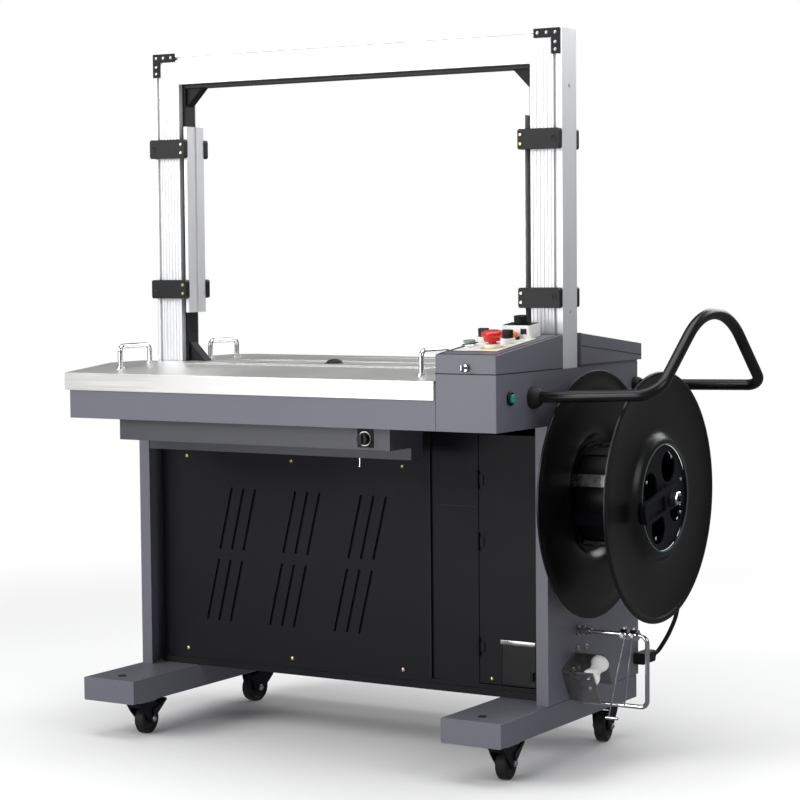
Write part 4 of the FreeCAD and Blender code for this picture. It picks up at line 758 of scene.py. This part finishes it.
def build_side_details():
    """Waisted roller, rod pivot, and the fastenings around the bracket and the swinging rod."""
    bm = bmesh.new()
    for y, z in ((325, 221.5), (362, 220)):
        add_dome_screw(bm, (0, y, z), (1, y, z), 5.5, 4.4)
    sine, cosine = math.sin(BRACKET_LEAN), math.cos(BRACKET_LEAN)
    for x, y, z in ((56, 263.3, 173.5), (54, 274, 154.3)):
        add_dome_screw(bm, (x, y, z), (x, y - cosine, z - sine), 5.0, 4.0)
    for y, z in ((303, 184), (325.5, 185)):
        add_dome_screw(bm, (2.5, y, z), (3.5, y, z), 5.0, 3.6)
    finish_piece("bracket_domes", bm, "frame", ZINC)

    bm = bmesh.new()
    start = (ROLLER_X, BRACKET_Y - ROLLER_UP * sine, BRACKET_Z + ROLLER_UP * cosine)
    toward = (ROLLER_X, start[1] + cosine, start[2] + sine)
    waist = [(3.5, 4.06), (3.5, 16.4), (4.6, 17.6), (10, 17.9), (14, 16.8), (18, 14.6), (23, 12.6),
             (30.5, 11.6), (38, 12.6), (43, 14.6), (47, 16.8), (51, 17.9), (56.4, 17.6), (57.5, 16.4),
             (57.5, 4.06)]
    add_ring(bm, waist, start, toward, 64)
    finish_piece("waisted_roller", bm, "guide_roller", WHITE_PLASTIC,
                 replaces=("guide_roller",), sharp=50)
    bm = bmesh.new()
    sleeve = [(0, 4.6), (0, 10), (3, 10), (3.6, 6.8), (8, 6.8), (8.4, 9), (13, 9), (13.4, 6.8), (20, 6.8),
              (20.4, 8.4), (25, 8.4), (25.4, 6.6), (31, 6.4), (31, 4.6)]
    add_ring(bm, sleeve, (0, SWING_Y, SWING_Z), (1, SWING_Y, SWING_Z), 32)
    finish_piece("pivot_sleeve", bm, "frame", MACHINED, replaces=("rod_pivot",))
    bm = bmesh.new()
    for x in (103, 124):
        add_hex_nut(bm, (x, SWING_Y - 10.5, SWING_Z), (x, SWING_Y - 11.5, SWING_Z), 8, 4.5)
        add_hex_nut(bm, (x, SWING_Y, SWING_Z + 10.6), (x, SWING_Y, SWING_Z + 11.6), 8, 4.5)
    finish_piece("clamp_screws", bm, "tension_rod", ZINC)
    bm = bmesh.new()
    for x in (11, 23):
        add_hex_nut(bm, (x, SWING_Y, SWING_Z + 7.5), (x, SWING_Y, SWING_Z + 8.5), 7, 4)
    finish_piece("pivot_screws", bm, "frame", ZINC)


build_lid_details()
build_box_details()
build_arch_details()
build_table_details()
build_reel_details()
build_caster_details()
build_side_details()


# ---------------------------------------------------------------- floor, light and camera
def flat_shader(tree, kind, colour, strength=1.0):
    """Emission or background of one colour; returns its output."""
    node = tree.nodes.new(kind)
    node.inputs["Color"].default_value = rgba(colour)
    node.inputs["Strength"].default_value = strength
    return node.outputs[0]


def mix_shader(tree, factor, first, second):
    """Mix of two shaders by a socket; returns its output."""
    node = tree.nodes.new("ShaderNodeMixShader")
    for i, socket in enumerate((factor, first, second)):
        tree.links.new(socket, node.inputs[i])
    return node.outputs[0]


def build_stage():
    """Pale floor that fades to white, a soft studio and the camera."""
    bm = bmesh.new()
    bmesh.ops.create_circle(bm, cap_ends=True, segments=96, radius=30.0)
    mesh = bpy.data.meshes.new("floor")
    bm.to_mesh(mesh)
    bm.free()
    floor = bpy.data.objects.new("floor", mesh)
    bpy.context.scene.collection.objects.link(floor)
    material, tree, bsdf = new_material("pale_floor")
    bsdf.inputs["Base Color"].default_value = (0.88, 0.88, 0.88, 1)
    bsdf.inputs["Roughness"].default_value = 0.6
    bsdf.inputs["Specular IOR Level"].default_value = 0.2
    place = tree.nodes.new("ShaderNodeTexCoord")
    far = tree.nodes.new("ShaderNodeVectorMath")
    far.operation = "LENGTH"
    tree.links.new(place.outputs["Object"], far.inputs[0])
    fade = ramp_node(tree, far.outputs["Value"], 1.3, 3.2, 0.0, 1.0)
    ray = tree.nodes.new("ShaderNodeLightPath")
    glow = flat_shader(tree, "ShaderNodeEmission", (1, 1, 1))
    shade = flat_shader(tree, "ShaderNodeEmission", (0.16, 0.16, 0.17))
    plain = mix_shader(tree, fade, bsdf.outputs[0], glow)
    surface = mix_shader(tree, ray.outputs["Is Glossy Ray"], plain, shade)
    tree.links.new(surface, tree.nodes["Material Output"].inputs["Surface"])
    mesh.materials.append(material)

    world = bpy.data.worlds.new("studio")
    world.use_nodes = True
    bpy.context.scene.world = world
    tree = world.node_tree
    tree.nodes.remove(tree.nodes["Background"])
    ray = tree.nodes.new("ShaderNodeLightPath")
    sky = (0.97, 0.98, 1.0)
    back = flat_shader(tree, "ShaderNodeBackground", sky, 0.34)
    dim = flat_shader(tree, "ShaderNodeBackground", sky, 0.13)
    white = flat_shader(tree, "ShaderNodeBackground", (1, 1, 1))
    lighting = mix_shader(tree, ray.outputs["Is Glossy Ray"], back, dim)
    seen = mix_shader(tree, ray.outputs["Is Camera Ray"], lighting, white)
    tree.links.new(seen, tree.nodes["World Output"].inputs["Surface"])

    for name, spot, target, size, energy in (
            ("key_light", (-2.4, -3.2, 2.6), (0, 0, 0.7), (2.6, 2.2), 120),
            ("top_light", (0.2, -0.2, 3.6), (0, 0, 0.6), (3.4, 2.6), 80),
            ("side_light", (3.4, -1.2, 2.4), (0.2, 0, 1.0), (1.6, 1.8), 26),
            ("low_light", (-0.9, -3.4, 0.5), (0, 0, 0.35), (1.8, 0.7), 26),
            ("back_light", (0.6, 3.2, 2.4), (0, 0, 0.7), (3.0, 1.4), 55)):
        lamp = bpy.data.lights.new(name, "AREA")
        lamp.shape = "RECTANGLE"
        lamp.size, lamp.size_y = size
        lamp.energy = energy
        light = bpy.data.objects.new(name, lamp)
        light.location = spot
        light.rotation_euler = (Vector(target) - Vector(spot)).to_track_quat("-Z", "Y").to_euler()
        bpy.context.scene.collection.objects.link(light)

    lens = bpy.data.cameras.new("camera")
    lens.sensor_width = SENSOR_WIDTH
    lens.lens = FOCAL_LENGTH
    lens.clip_end = 100.0
    camera = bpy.data.objects.new("camera", lens)
    yaw, pitch, roll = math.radians(31.6), math.radians(-3.6), math.radians(-0.5)
    look = Vector((-math.sin(yaw) * math.cos(pitch), math.cos(yaw) * math.cos(pitch), math.sin(pitch)))
    right = Vector((math.cos(yaw), math.sin(yaw), 0))
    up = right.cross(look)
    turned_right = right * math.cos(roll) + up * math.sin(roll)
    turned_up = up * math.cos(roll) - right * math.sin(roll)
    turn = Matrix((turned_right, turned_up, -look)).transposed().to_4x4()
    camera.matrix_world = Matrix.Translation(at(2026.2, -3633.2, 997.6)) @ turn
    bpy.context.scene.collection.objects.link(camera)
    bpy.context.scene.camera = camera
    bpy.context.scene.view_settings.view_transform = "Standard"


build_stage()
